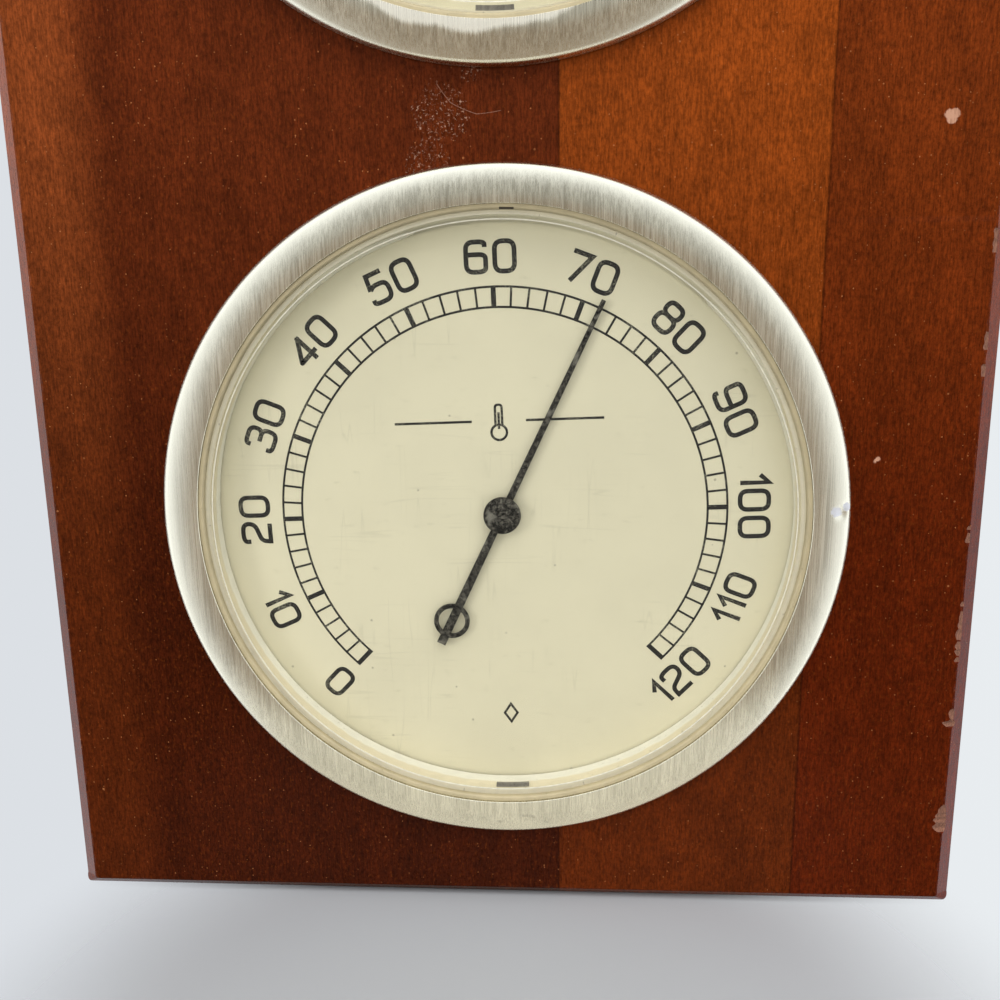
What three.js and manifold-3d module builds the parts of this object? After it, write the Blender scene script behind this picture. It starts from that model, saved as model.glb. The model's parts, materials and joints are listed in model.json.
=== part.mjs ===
// A wall weather station: a stained wooden board that carries three round instruments, one above
// another: a thermometer at the bottom, a barometer in the middle and a hygrometer at the top.
// Millimetres. World axes: +X to the right, +Y into the wall, +Z up.
// The origin is the middle of the board's bottom edge.
//
// Pieces are drawn in the board's own frame: x to the right, y up, z out of the board's front face
// towards the viewer. The last group turns that frame upright.
import * as THREE from "three";
import { mergeVertices } from "three/addons/utils/BufferGeometryUtils.js";
import Module from "manifold-3d";

const wasm = await Module();
wasm.setup();

// Driving dimensions of the board and of the instruments' layout
const BOARD_WIDTH = 139.7;
const BOARD_THICKNESS = 19;
const BEZEL_RADIUS = 50;
const BEZEL_GAP = 12;
const END_MARGIN = 12.5;
const SIDE_BEVEL = 2.5;
const END_BEVEL = 1.5;
const CORNER_RADIUS = 1;
const BORE_RADIUS = 46.5;

// Layout worked out from them
const DIAL_PITCH = 2 * BEZEL_RADIUS + BEZEL_GAP;
const FIRST_CENTRE = END_MARGIN + BEZEL_RADIUS;
const BOARD_HEIGHT = 2 * FIRST_CENTRE + 2 * DIAL_PITCH;
const BOARD_BACK = -BOARD_THICKNESS;
const THERMOMETER_CENTRE = FIRST_CENTRE;
const BAROMETER_CENTRE = FIRST_CENTRE + DIAL_PITCH;
const HYGROMETER_CENTRE = FIRST_CENTRE + 2 * DIAL_PITCH;

// Clearance between pieces that touch, and how far a cutting tool runs past what it cuts
const GAP = 0.25;
const OVERSHOOT = 5;

// Levels inside an instrument, along z
const DIAL_FRONT = -3;
const DIAL_BACK = -3.8;
const LENS_FRONT = 2.25;
const LENS_BACK = 1.2;
const FLOOR_INSIDE = -16.2;
const FLOOR_OUTSIDE = -17.5;
const PLATE_BACK = FLOOR_INSIDE + GAP;
const PLATE_FRONT = PLATE_BACK + 0.8;
const POINTER_BACK = -2.3;
const POINTER_FRONT = -1.9;
const HUB_FRONT = -0.95;

// Radii of an instrument's stacked rounds
const CASE_RADIUS = 46.2;
const CASE_INSIDE = 44.2;
const DIAL_SEAT_RADIUS = 45.2;
const DIAL_RADIUS = 44.9;
const LIP_RADIUS = 44.45;
const LENS_HOLE = 1.7;

// Shafts, their pivot holes and the hole in the dial
const STAFF_RADIUS = 0.6;
const PIVOT_HOLE = 0.75;
const DIAL_HOLE = 1.7;

// Scales: the reading at the top of the dial, the degrees for each unit and the reading shown.
// The thermometer sits turned a little in its bore.
const THERMOMETER_SCALE = { top: 60, degrees: 2.25, shown: 72 };
const BAROMETER_SCALE = { top: 29.5, degrees: 90, shown: 29.9 };
const HYGROMETER_SCALE = { top: 50, degrees: 2.7, shown: 45 };
const THERMOMETER_TURN = 1.7;
const SET_HAND_READING = 29.7;

// Facets of large rings, of the rounds stacked in a case, of middle-sized and of small rounds
const LARGE = 32;
const STACK = 24;
const MIDDLE = 16;
const SMALL = 10;

const { degToRad } = THREE.MathUtils;

// Materials
function finish(color, roughness, metalness) {
  return new THREE.MeshStandardMaterial({ color, roughness, metalness });
}

function clearFinish(color, opacity) {
  const options = { color, opacity, roughness: 0.05, metalness: 0, transparent: true };
  return new THREE.MeshStandardMaterial(options);
}

const MATERIALS = {
  wood: finish(0x6e2c12, 0.35, 0),
  bezel: finish(0xc9c6b8, 0.35, 1),
  lens: clearFinish(0xf4efd8, 0.2),
  dial: finish(0xded7bc, 0.5, 0),
  moulding: finish(0x2a2724, 0.6, 0),
  rubber: finish(0x1d1c1b, 0.9, 0),
  black: finish(0x26241f, 0.5, 0.2),
  brass: finish(0xb08d4a, 0.35, 1),
  steel: finish(0xa5a7a8, 0.35, 1),
  bimetal: finish(0x9c7b4e, 0.4, 1),
  film: finish(0xcdbb98, 0.7, 0),
  felt: finish(0x2e3a2f, 0.95, 0),
};

// Solids: joining and cutting closed meshes
const MERGE_DISTANCE = 1e-4;

function toSolid(geometry) {
  const bare = geometry.index ? geometry.toNonIndexed() : geometry.clone();
  bare.deleteAttribute("normal");
  bare.deleteAttribute("uv");
  const merged = mergeVertices(bare, MERGE_DISTANCE);
  const mesh = new wasm.Mesh({
    numProp: 3,
    vertProperties: merged.attributes.position.array,
    triVerts: new Uint32Array(merged.index.array),
  });
  return new wasm.Manifold(mesh);
}

function toGeometry(solid) {
  const mesh = solid.getMesh();
  const geometry = new THREE.BufferGeometry();
  geometry.setAttribute("position", new THREE.BufferAttribute(mesh.vertProperties, 3));
  geometry.setIndex(new THREE.BufferAttribute(mesh.triVerts, 1));
  geometry.computeVertexNormals();
  return geometry;
}

function join(...geometries) {
  return toGeometry(geometries.map(toSolid).reduce((sum, next) => sum.add(next)));
}

function cut(geometry, ...tools) {
  const body = toSolid(geometry);
  return toGeometry(tools.map(toSolid).reduce((rest, tool) => rest.subtract(tool), body));
}

// Shapes. The axis of every round piece is z unless its name says otherwise.
function block(x0, x1, y0, y1, z0, z1) {
  const geometry = new THREE.BoxGeometry(x1 - x0, y1 - y0, z1 - z0);
  return geometry.translate((x0 + x1) / 2, (y0 + y1) / 2, (z0 + z1) / 2);
}

function rod(radius, z0, z1, facets = SMALL) {
  const geometry = new THREE.CylinderGeometry(radius, radius, z1 - z0, facets);
  return geometry.rotateX(Math.PI / 2).translate(0, 0, (z0 + z1) / 2);
}

function rodAlongX(radius, x0, x1) {
  const geometry = new THREE.CylinderGeometry(radius, radius, x1 - x0, SMALL);
  return geometry.rotateZ(Math.PI / 2).translate((x0 + x1) / 2, 0, 0);
}

// A turned piece. Its [radius, z] points run from the back, round the outside, to the front.
function turned(profile, facets = SMALL) {
  const points = profile.map(([radius, z]) => new THREE.Vector2(radius, z));
  const startsOnAxis = points[0].x === 0;
  if (!startsOnAxis) points.push(points[0].clone());
  return new THREE.LatheGeometry(points, facets).rotateX(Math.PI / 2);
}

function outline(points) {
  return new THREE.Shape(points.map(([x, y]) => new THREE.Vector2(x, y)));
}

function plate(shape, z0, z1, curveSegments = MIDDLE / 2) {
  const options = { depth: z1 - z0, bevelEnabled: false, curveSegments };
  return new THREE.ExtrudeGeometry(shape, options).translate(0, 0, z0);
}

// A folded strip: [y, z] points drawn along x, or [x, z] points drawn along y
function stripAlongX(profile, x0, x1) {
  const axes = new THREE.Matrix4().set(0, 0, 1, 0, 1, 0, 0, 0, 0, 1, 0, 0, 0, 0, 0, 1);
  return plate(outline(profile), x0, x1).applyMatrix4(axes);
}

function stripAlongY(profile, y0, y1) {
  return plate(outline(profile), -y1, -y0).rotateX(Math.PI / 2);
}

function polar(radius, angle) {
  return [radius * Math.cos(angle), radius * Math.sin(angle)];
}

// A flat spiral ribbon, from its inner end at angle 0
const SPIRAL_STEPS = 12;

function spiral({ inner, outer, turns, ribbon, back, front }) {
  const steps = turns * SPIRAL_STEPS;
  const edge = [];
  for (let i = 0; i <= steps; i++) {
    edge.push([inner + ((outer - inner) * i) / steps, (2 * Math.PI * i) / SPIRAL_STEPS]);
  }
  const outside = edge.map(([radius, angle]) => polar(radius + ribbon / 2, angle));
  const inside = edge.map(([radius, angle]) => polar(radius - ribbon / 2, angle));
  return plate(outline([...outside, ...inside.reverse()]), back, front);
}

function add(group, name, material, geometry) {
  const mesh = new THREE.Mesh(geometry, MATERIALS[material]);
  mesh.name = name;
  group.add(mesh);
  return mesh;
}

// How far a hand lies from the top of its dial, clockwise
function handAngle(scale, reading) {
  return degToRad((reading - scale.top) * scale.degrees);
}

// Board: bevelled front edges, three through bores and two nail holes
const NAIL_X = 18.5;
const NAIL_Y = BOARD_HEIGHT - 8;
const NAIL_DEPTH = 9;
const NAIL_RADIUS = 0.7;
const CORNER_SEGMENTS = 3;

function boardOutline() {
  const half = BOARD_WIDTH / 2;
  const inset = half - CORNER_RADIUS;
  const top = BOARD_HEIGHT - CORNER_RADIUS;
  const quarter = Math.PI / 2;
  const shape = new THREE.Shape();
  shape.absarc(inset, CORNER_RADIUS, CORNER_RADIUS, -quarter, 0);
  shape.absarc(inset, top, CORNER_RADIUS, 0, quarter);
  shape.absarc(-inset, top, CORNER_RADIUS, quarter, 2 * quarter);
  shape.absarc(-inset, CORNER_RADIUS, CORNER_RADIUS, 2 * quarter, 3 * quarter);
  return shape;
}

// A prism that planes a 45 degree bevel off the board's edge at y = reach, turned to face side
function bevelTool(size, reach, length, side) {
  const profile = [
    [reach - size - OVERSHOOT, OVERSHOOT],
    [reach + OVERSHOOT, -size - OVERSHOOT],
    [reach + OVERSHOOT, OVERSHOOT],
  ];
  return stripAlongX(profile, -length, length).rotateZ(side).translate(0, BOARD_HEIGHT / 2, 0);
}

function board() {
  const blank = plate(boardOutline(), BOARD_BACK, 0, CORNER_SEGMENTS);
  const tools = [
    bevelTool(END_BEVEL, BOARD_HEIGHT / 2, BOARD_WIDTH, 0),
    bevelTool(END_BEVEL, BOARD_HEIGHT / 2, BOARD_WIDTH, Math.PI),
    bevelTool(SIDE_BEVEL, BOARD_WIDTH / 2, BOARD_HEIGHT, Math.PI / 2),
    bevelTool(SIDE_BEVEL, BOARD_WIDTH / 2, BOARD_HEIGHT, -Math.PI / 2),
  ];
  for (const centre of [THERMOMETER_CENTRE, BAROMETER_CENTRE, HYGROMETER_CENTRE]) {
    const bore = rod(BORE_RADIUS, BOARD_BACK - OVERSHOOT, OVERSHOOT, LARGE);
    tools.push(bore.translate(0, centre, 0));
  }
  for (const x of [-NAIL_X, NAIL_X]) {
    const hole = rod(NAIL_RADIUS + GAP, BOARD_BACK - OVERSHOOT, BOARD_BACK + NAIL_DEPTH);
    tools.push(hole.translate(x, NAIL_Y, 0));
  }
  return cut(blank, ...tools);
}

// Hanger: a folded steel strip nailed to the back, with sawteeth along its raised lower edge
const HANGER_HALF = 22.5;
const HANGER_FOOT = 14.5;
const HANGER_STEP = 12;
const HANGER_RISE = 2;
const HANGER_SHEET = 0.8;
const HANGER_WIDTH = 9;
const TOOTH_COUNT = 5;
const TOOTH_PITCH = 4;
const TOOTH_HEIGHT = 2.5;

function hanger() {
  const near = BOARD_BACK - GAP;
  const far = near - HANGER_RISE;
  const facingBoard = [
    [-HANGER_HALF, near],
    [-HANGER_FOOT, near],
    [-HANGER_STEP, far],
    [HANGER_STEP, far],
    [HANGER_FOOT, near],
    [HANGER_HALF, near],
  ];
  const facingWall = facingBoard.map(([x, z]) => [x, z - HANGER_SHEET]).reverse();
  const low = NAIL_Y - HANGER_WIDTH / 2;
  const strip = stripAlongY([...facingBoard, ...facingWall], low, low + HANGER_WIDTH);
  const tools = [];
  for (let i = 0; i < TOOTH_COUNT; i++) {
    const x = (i - (TOOTH_COUNT - 1) / 2) * TOOTH_PITCH;
    const notch = outline([
      [x - TOOTH_PITCH / 2, low - GAP],
      [x + TOOTH_PITCH / 2, low - GAP],
      [x, low + TOOTH_HEIGHT],
    ]);
    tools.push(plate(notch, far - OVERSHOOT, near));
  }
  for (const x of [-NAIL_X, NAIL_X]) {
    const hole = rod(NAIL_RADIUS + GAP, far - OVERSHOOT, BOARD_BACK);
    tools.push(hole.translate(x, NAIL_Y, 0));
  }
  return cut(strip, ...tools);
}

const NAIL_HEAD_RADIUS = 2;
const NAIL_CROWN_RADIUS = 1.4;
const NAIL_HEAD = 0.9;
const NAIL_POINT = 2;

function nail() {
  const under = BOARD_BACK - 2 * GAP - HANGER_SHEET;
  const profile = [
    [0, under - NAIL_HEAD],
    [NAIL_CROWN_RADIUS, under - NAIL_HEAD],
    [NAIL_HEAD_RADIUS, under - NAIL_HEAD / 2],
    [NAIL_HEAD_RADIUS, under],
    [NAIL_RADIUS, under],
    [NAIL_RADIUS, BOARD_BACK + NAIL_DEPTH - NAIL_POINT],
    [0, BOARD_BACK + NAIL_DEPTH - GAP],
  ];
  return turned(profile);
}

// Bumper: a felt disc at each lower corner of the back, which keeps the board off the wall
const BUMPER_RADIUS = 5;
const BUMPER_THICKNESS = 3;
const BUMPER_X = 58;
const BUMPER_Y = 11;

function bumper() {
  const face = BOARD_BACK - GAP;
  return rod(BUMPER_RADIUS, face - BUMPER_THICKNESS, face, MIDDLE);
}

// Bezel: a spun metal ring with a rolled outer edge, which covers the bore and holds the lens
const BEZEL_SHEET = 0.8;
const BEZEL_RIM_FRONT = 1.2;
const BEZEL_SHOULDER = { radius: BEZEL_RADIUS - 0.9, front: 2.4 };
const BEZEL_CREST = { radius: BEZEL_RADIUS - 3.2, front: 3 };
const LIP_FRONT = 2.9;
const LIP_BACK = 2.25;

function bezel() {
  const profile = [
    [BEZEL_RADIUS - BEZEL_SHEET, GAP],
    [BEZEL_RADIUS, GAP],
    [BEZEL_RADIUS, BEZEL_RIM_FRONT],
    [BEZEL_SHOULDER.radius, BEZEL_SHOULDER.front],
    [BEZEL_CREST.radius, BEZEL_CREST.front],
    [LIP_RADIUS, LIP_FRONT],
    [LIP_RADIUS, LIP_BACK],
    [BEZEL_RADIUS - 2 * BEZEL_SHEET, BEZEL_SHOULDER.front - BEZEL_SHEET / 2],
  ];
  return turned(profile, LARGE);
}

// Lens: a clear moulded cover with a raised bead near its rim, a flange under the bezel's lip and a
// skirt that stands on the dial
const SKIRT_INSIDE = 43.1;
const SKIRT_OUTSIDE = 44.2;
const LENS_FLANGE = 46.8;
const FLANGE_FRONT = 1.95;
const FLANGE_BACK = 1.25;
const BEAD_RADIUS = 42.8;
const BEAD_HALF = 1;
const BEAD_HEIGHT = 0.3;

function lens(holeRadius) {
  const profile = [
    [holeRadius, LENS_BACK],
    [SKIRT_INSIDE, LENS_BACK],
    [SKIRT_INSIDE, DIAL_FRONT + GAP],
    [SKIRT_OUTSIDE, DIAL_FRONT + GAP],
    [SKIRT_OUTSIDE, FLANGE_BACK],
    [LENS_FLANGE, FLANGE_BACK],
    [LENS_FLANGE, FLANGE_FRONT],
    [BEAD_RADIUS + BEAD_HALF, FLANGE_FRONT],
    [BEAD_RADIUS, LENS_FRONT + BEAD_HEIGHT],
    [BEAD_RADIUS - BEAD_HALF, LENS_FRONT],
    [holeRadius, LENS_FRONT],
  ];
  return turned(profile, STACK);
}

// Dial: a printed disc with a middle hole and two locating slots, at 12 and 6 o'clock
const SLOT_RADIUS = 43.7;
const SLOT_LENGTH = 6;
const SLOT_WIDTH = 0.6;

function dial() {
  const profile = [
    [DIAL_HOLE, DIAL_BACK],
    [DIAL_RADIUS, DIAL_BACK],
    [DIAL_RADIUS, DIAL_FRONT],
    [DIAL_HOLE, DIAL_FRONT],
  ];
  const slots = [-SLOT_RADIUS, SLOT_RADIUS].map((y) =>
    block(
      -SLOT_LENGTH / 2,
      SLOT_LENGTH / 2,
      y - SLOT_WIDTH / 2,
      y + SLOT_WIDTH / 2,
      DIAL_BACK - OVERSHOOT,
      DIAL_FRONT + OVERSHOOT,
    ),
  );
  return cut(turned(profile, STACK), ...slots);
}

// Case: a moulded cup with a flange over the board's face, a seat for the dial, a groove for the
// rubber ring that holds it in the bore, and holes in its floor
const CASE_FLANGE = 48.3;
const CASE_FLANGE_FRONT = 1;
const SEAT = DIAL_BACK - GAP;
const GROOVE_RADIUS = 45.3;
const GROOVE_BACK = -9.3;
const GROOVE_FRONT = -6.7;
const FLOOR_CHAMFER = 1;

function moulding(tools) {
  const profile = [
    [0, FLOOR_OUTSIDE],
    [CASE_RADIUS - FLOOR_CHAMFER, FLOOR_OUTSIDE],
    [CASE_RADIUS, FLOOR_OUTSIDE + FLOOR_CHAMFER],
    [CASE_RADIUS, GROOVE_BACK],
    [GROOVE_RADIUS, GROOVE_BACK],
    [GROOVE_RADIUS, GROOVE_FRONT],
    [CASE_RADIUS, GROOVE_FRONT],
    [CASE_RADIUS, GAP],
    [CASE_FLANGE, GAP],
    [CASE_FLANGE, CASE_FLANGE_FRONT],
    [DIAL_SEAT_RADIUS, CASE_FLANGE_FRONT],
    [DIAL_SEAT_RADIUS, SEAT],
    [CASE_INSIDE, SEAT],
    [CASE_INSIDE, FLOOR_INSIDE],
    [0, FLOOR_INSIDE],
  ];
  return cut(turned(profile, STACK), ...tools);
}

function floorHole(radius, x, y) {
  return rod(radius, FLOOR_OUTSIDE - OVERSHOOT, FLOOR_INSIDE + GAP).translate(x, y, 0);
}

function fitRing() {
  const profile = [
    [GROOVE_RADIUS + GAP, GROOVE_BACK + GAP],
    [CASE_RADIUS, GROOVE_BACK + GAP],
    [CASE_RADIUS, GROOVE_FRONT - GAP],
    [GROOVE_RADIUS + GAP, GROOVE_FRONT - GAP],
  ];
  return turned(profile, STACK);
}

// Movement screw: a slotted pan head behind the case floor, with its shank through the plate inside
const SCREW_SHANK = 1.05;
const SCREW_HEAD = 2.4;
const SCREW_HEAD_DEPTH = 1;
const SCREW_CHAMFER = 0.4;
const SCREW_SLOT = 0.7;
const SCREW_SLOT_DEPTH = 0.5;
const SCREW_END = PLATE_FRONT + 0.8;

function movementScrew() {
  const under = FLOOR_OUTSIDE - GAP;
  const top = under - SCREW_HEAD_DEPTH;
  const profile = [
    [0, top],
    [SCREW_HEAD - SCREW_CHAMFER, top],
    [SCREW_HEAD, top + SCREW_CHAMFER],
    [SCREW_HEAD, under],
    [SCREW_SHANK, under],
    [SCREW_SHANK, SCREW_END],
    [0, SCREW_END],
  ];
  return cut(turned(profile), screwSlot(SCREW_HEAD, top));
}

function screwSlot(headRadius, top) {
  const half = SCREW_SLOT / 2;
  const bottom = top + SCREW_SLOT_DEPTH;
  return block(-2 * headRadius, 2 * headRadius, -half, half, top - OVERSHOOT, bottom);
}

// Dial bush: the flanged front bearing of a hand's shaft
const BUSH_FLANGE = 3;
const BUSH_BACK = SEAT - 0.9;

function dialBush() {
  const profile = [
    [PIVOT_HOLE, BUSH_BACK],
    [BUSH_FLANGE, BUSH_BACK],
    [BUSH_FLANGE, SEAT],
    [DIAL_HOLE - GAP, SEAT],
    [DIAL_HOLE - GAP, DIAL_FRONT + GAP],
    [PIVOT_HOLE, DIAL_FRONT + GAP],
  ];
  return turned(profile);
}

// Pointer: a long tapered needle with a ring on its tail, drawn pointing up
const TIP_REACH = 33.5;
const TIP_HALF = 0.33;
const TAIL_REACH = 22.1;
const TAIL_HALF = 0.7;
const RING_CENTRE = 18.2;
const RING_OUTSIDE = 2.6;
const RING_INSIDE = 2.05;
const POINTER_EYE = 2.3;
const POINTER_HOLE = 1.3;

function pointer() {
  const needle = outline([
    [-TAIL_HALF, -TAIL_REACH],
    [TAIL_HALF, -TAIL_REACH],
    [TIP_HALF, TIP_REACH],
    [-TIP_HALF, TIP_REACH],
  ]);
  const ring = cut(
    rod(RING_OUTSIDE, POINTER_BACK, POINTER_FRONT, MIDDLE),
    rod(RING_INSIDE, POINTER_BACK - OVERSHOOT, POINTER_FRONT + OVERSHOOT, MIDDLE),
  ).translate(0, -RING_CENTRE, 0);
  const eye = rod(POINTER_EYE, POINTER_BACK, POINTER_FRONT, MIDDLE);
  const whole = join(plate(needle, POINTER_BACK, POINTER_FRONT), ring, eye);
  return cut(whole, rod(POINTER_HOLE, POINTER_BACK - OVERSHOOT, POINTER_FRONT + OVERSHOOT));
}

// Hub: the cap that holds the pointer on its shaft. Its collar goes through the pointer's eye.
const HUB_RADIUS = 2.7;
const HUB_COLLAR = 1.05;
const HUB_SOCKET = STAFF_RADIUS + GAP;
const HUB_CHAMFER = 0.35;
const SHAFT_END = HUB_FRONT - 0.4;
const SOCKET_END = SHAFT_END + 0.15;

function hub() {
  const under = POINTER_FRONT + GAP;
  const profile = [
    [HUB_SOCKET, POINTER_BACK - GAP],
    [HUB_COLLAR, POINTER_BACK - GAP],
    [HUB_COLLAR, under],
    [HUB_RADIUS, under],
    [HUB_RADIUS, HUB_FRONT - HUB_CHAMFER],
    [HUB_RADIUS - HUB_CHAMFER, HUB_FRONT],
    [0, HUB_FRONT],
    [0, SOCKET_END],
    [HUB_SOCKET, SOCKET_END],
  ];
  return turned(profile, MIDDLE);
}

// The parts that every instrument has
function instrument(label, centre, { lensHole, floorTools, screws }) {
  const group = new THREE.Group();
  group.position.y = centre;
  const holes = screws.map(([x, y]) => floorHole(SCREW_SHANK + GAP, x, y));
  add(group, `${label}_bezel`, "bezel", bezel());
  add(group, `${label}_lens`, "lens", lens(lensHole));
  add(group, `${label}_dial`, "dial", dial());
  add(group, `${label}_case`, "moulding", moulding([...floorTools, ...holes]));
  add(group, `${label}_fit_ring`, "rubber", fitRing());
  add(group, `${label}_bush`, "brass", dialBush());
  screws.forEach(([x, y], i) => {
    const screw = add(group, `${label}_screw_${i + 1}`, "steel", movementScrew());
    screw.position.set(x, y, 0);
  });
  return group;
}

// A hand on its shaft, turned to its reading
function hand(group, label, pointerName, shaftName, shaft, angle) {
  const turning = new THREE.Group();
  turning.rotation.z = -angle;
  add(turning, `${label}_${shaftName}`, "steel", shaft);
  add(turning, `${label}_${pointerName}`, "black", pointer());
  add(turning, `${label}_hub`, "black", hub());
  group.add(turning);
}

// Coil movement, in the thermometer and the hygrometer: a folded bracket screwed to the case floor,
// and a spiral that turns the shaft as its two layers swell differently
const BRACKET_HALF = 6;
const BRACKET_WALL = -15;
const BRACKET_FOOT_END = 10;
const BRACKET_TOP_END = 5;
const BRACKET_SHEET = 0.8;
const BRACKET_TOP = -5.6;
const BRACKET_SCREWS = [
  [0, -10.5],
  [0, 7],
];
const COLLET_RADIUS = 1.5;
const COLLET_BACK = -13;
const COLLET_FRONT = -9;
const COIL_RIBBON = 0.4;
const COIL_SETBACK = 0.2;
const STAFF_REAR = PLATE_BACK + 0.05;
const COIL = {
  inner: COLLET_RADIUS + GAP + COIL_RIBBON / 2,
  outer: -BRACKET_WALL - BRACKET_SHEET - GAP - COIL_RIBBON / 2,
  turns: 4.75,
  ribbon: COIL_RIBBON,
  back: COLLET_BACK + COIL_SETBACK,
  front: COLLET_FRONT - COIL_SETBACK,
};

function bracket() {
  const wallInside = BRACKET_WALL + BRACKET_SHEET;
  const topBack = BRACKET_TOP - BRACKET_SHEET;
  const profile = [
    [BRACKET_WALL, PLATE_BACK],
    [BRACKET_FOOT_END, PLATE_BACK],
    [BRACKET_FOOT_END, PLATE_FRONT],
    [wallInside, PLATE_FRONT],
    [wallInside, topBack],
    [BRACKET_TOP_END, topBack],
    [BRACKET_TOP_END, BRACKET_TOP],
    [BRACKET_WALL, BRACKET_TOP],
  ];
  const holes = BRACKET_SCREWS.map(([x, y]) =>
    rod(SCREW_SHANK + GAP, PLATE_BACK - GAP, PLATE_FRONT + GAP).translate(x, y, 0),
  );
  const pivots = rod(PIVOT_HOLE, FLOOR_OUTSIDE, DIAL_BACK);
  return cut(stripAlongX(profile, -BRACKET_HALF, BRACKET_HALF), pivots, ...holes);
}

function coilStaff() {
  const profile = [
    [0, STAFF_REAR],
    [STAFF_RADIUS, STAFF_REAR],
    [STAFF_RADIUS, COLLET_BACK],
    [COLLET_RADIUS, COLLET_BACK],
    [COLLET_RADIUS, COLLET_FRONT],
    [STAFF_RADIUS, COLLET_FRONT],
    [STAFF_RADIUS, SHAFT_END],
    [0, SHAFT_END],
  ];
  return turned(profile);
}

// Slots in the floor let the room's air reach the coil
const VENT_ROWS = [-33, -26, 22, 29];
const VENT_HALF = 13;
const VENT_WIDTH = 3.2;

function vents() {
  return VENT_ROWS.map((y) =>
    block(
      -VENT_HALF,
      VENT_HALF,
      y - VENT_WIDTH / 2,
      y + VENT_WIDTH / 2,
      FLOOR_OUTSIDE - OVERSHOOT,
      FLOOR_INSIDE + GAP,
    ),
  );
}

function coilInstrument(label, centre, scale, coilMaterial) {
  const options = { lensHole: 0, floorTools: vents(), screws: BRACKET_SCREWS };
  const group = instrument(label, centre, options);
  add(group, `${label}_bracket`, "steel", bracket());
  add(group, `${label}_coil`, coilMaterial, spiral(COIL));
  hand(group, label, "pointer", "staff", coilStaff(), handAngle(scale, scale.shown));
  return group;
}

// Gears of the barometer: a pinion on the hand's arbor and a toothed sector above it
const MODULE = 0.3;
const PINION_TEETH = 10;
const SECTOR_TEETH = 140;
const SECTOR_CUT_TEETH = 11;
const GEAR_RATIO = SECTOR_TEETH / PINION_TEETH;
const GEAR_CENTRES = (MODULE * (PINION_TEETH + SECTOR_TEETH)) / 2;
const PRESSURE_ANGLE = degToRad(25);
const ADDENDUM = 0.8 * MODULE;
const DEDENDUM = 1.05 * MODULE;
const BACKLASH = 0.1;
const GEAR_BACK = -6.2;
const GEAR_FRONT = -5.2;

// One involute tooth at an angle, from root to root, of a gear with so many teeth all round
function tooth(teeth, angle) {
  const pitch = (MODULE * teeth) / 2;
  const base = pitch * Math.cos(PRESSURE_ANGLE);
  const involute = (radius) => {
    const pressure = Math.acos(Math.min(1, base / radius));
    return Math.tan(pressure) - pressure;
  };
  const halfAtPitch = Math.PI / (2 * teeth) - BACKLASH / (4 * pitch);
  const half = (radius) => halfAtPitch + involute(pitch) - involute(Math.max(radius, base));
  const radii = [pitch - DEDENDUM, pitch, pitch + ADDENDUM];
  const rising = radii.map((radius) => polar(radius, angle - half(radius)));
  const falling = radii.map((radius) => polar(radius, angle + half(radius)));
  return [...rising, ...falling.reverse()];
}

// The hand's arbor, with a tooth gap of its pinion facing up
const ARBOR_BACK = -9.3;

function handArbor() {
  const points = [];
  for (let i = 0; i < PINION_TEETH; i++) {
    const step = (2 * Math.PI) / PINION_TEETH;
    points.push(...tooth(PINION_TEETH, Math.PI / 2 + (i + 0.5) * step));
  }
  const pinion = plate(outline(points), GEAR_BACK, GEAR_FRONT);
  return join(pinion, rod(STAFF_RADIUS, ARBOR_BACK, SHAFT_END));
}

// The sector, drawn about its own stud, with its middle tooth facing down and a pin on its side arm
const STUD_RADIUS = 1;
const SECTOR_HOLE = 1.2;
const SECTOR_HUB = 2.4;
const SECTOR_NECK = 1.9;
const SIDE_ARM_HALF = 0.8;
const SIDE_ARM_END = 1;
const PIN_REACH = 4;
const PIN_RADIUS = 0.5;
const PIN_BACK = -7.4;

function sector() {
  const step = (2 * Math.PI) / SECTOR_TEETH;
  const points = [];
  for (let i = 0; i < SECTOR_CUT_TEETH; i++) {
    const place = i - (SECTOR_CUT_TEETH - 1) / 2;
    points.push(...tooth(SECTOR_TEETH, -Math.PI / 2 + place * step));
  }
  points.push([SECTOR_NECK, 0], [-SECTOR_NECK, 0]);
  const body = join(
    plate(outline(points), GEAR_BACK, GEAR_FRONT),
    rod(SECTOR_HUB, GEAR_BACK, GEAR_FRONT, MIDDLE),
    block(0, PIN_REACH, -SIDE_ARM_HALF, SIDE_ARM_HALF, GEAR_BACK, GEAR_FRONT),
    rod(SIDE_ARM_END, GEAR_BACK, GEAR_FRONT).translate(PIN_REACH, 0, 0),
    rod(PIN_RADIUS, PIN_BACK, GEAR_FRONT - GAP).translate(PIN_REACH, 0, 0),
  );
  return cut(body, rod(SECTOR_HOLE, GEAR_BACK - OVERSHOOT, GEAR_FRONT + OVERSHOOT));
}

// The rocker turns the capsule's push into the sector's swing. It is drawn about its own shaft: an
// arm reaches up over the capsule's stud, and a finger reaches forward under the sector's pin.
const ROCKER_Y = GEAR_CENTRES - 1;
const ROCKER_Z = -9.9;
const ROCKER_SHAFT_HALF = 10.5;
const ROCKER_ARM = 3;
const ROCKER_ARM_END = 3.8;
const ROCKER_ARM_HALF = 1.2;
const ROCKER_SHEET = 0.4;
const FINGER_WIDE = 0.8;
const FINGER_HALF = 0.35;
const FINGER_TOP = -6.5;
const FINGER_CONTACT = -6.8;
const ROCKER_RATIO = PIN_REACH / (FINGER_CONTACT - ROCKER_Z) / GEAR_RATIO;

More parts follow.
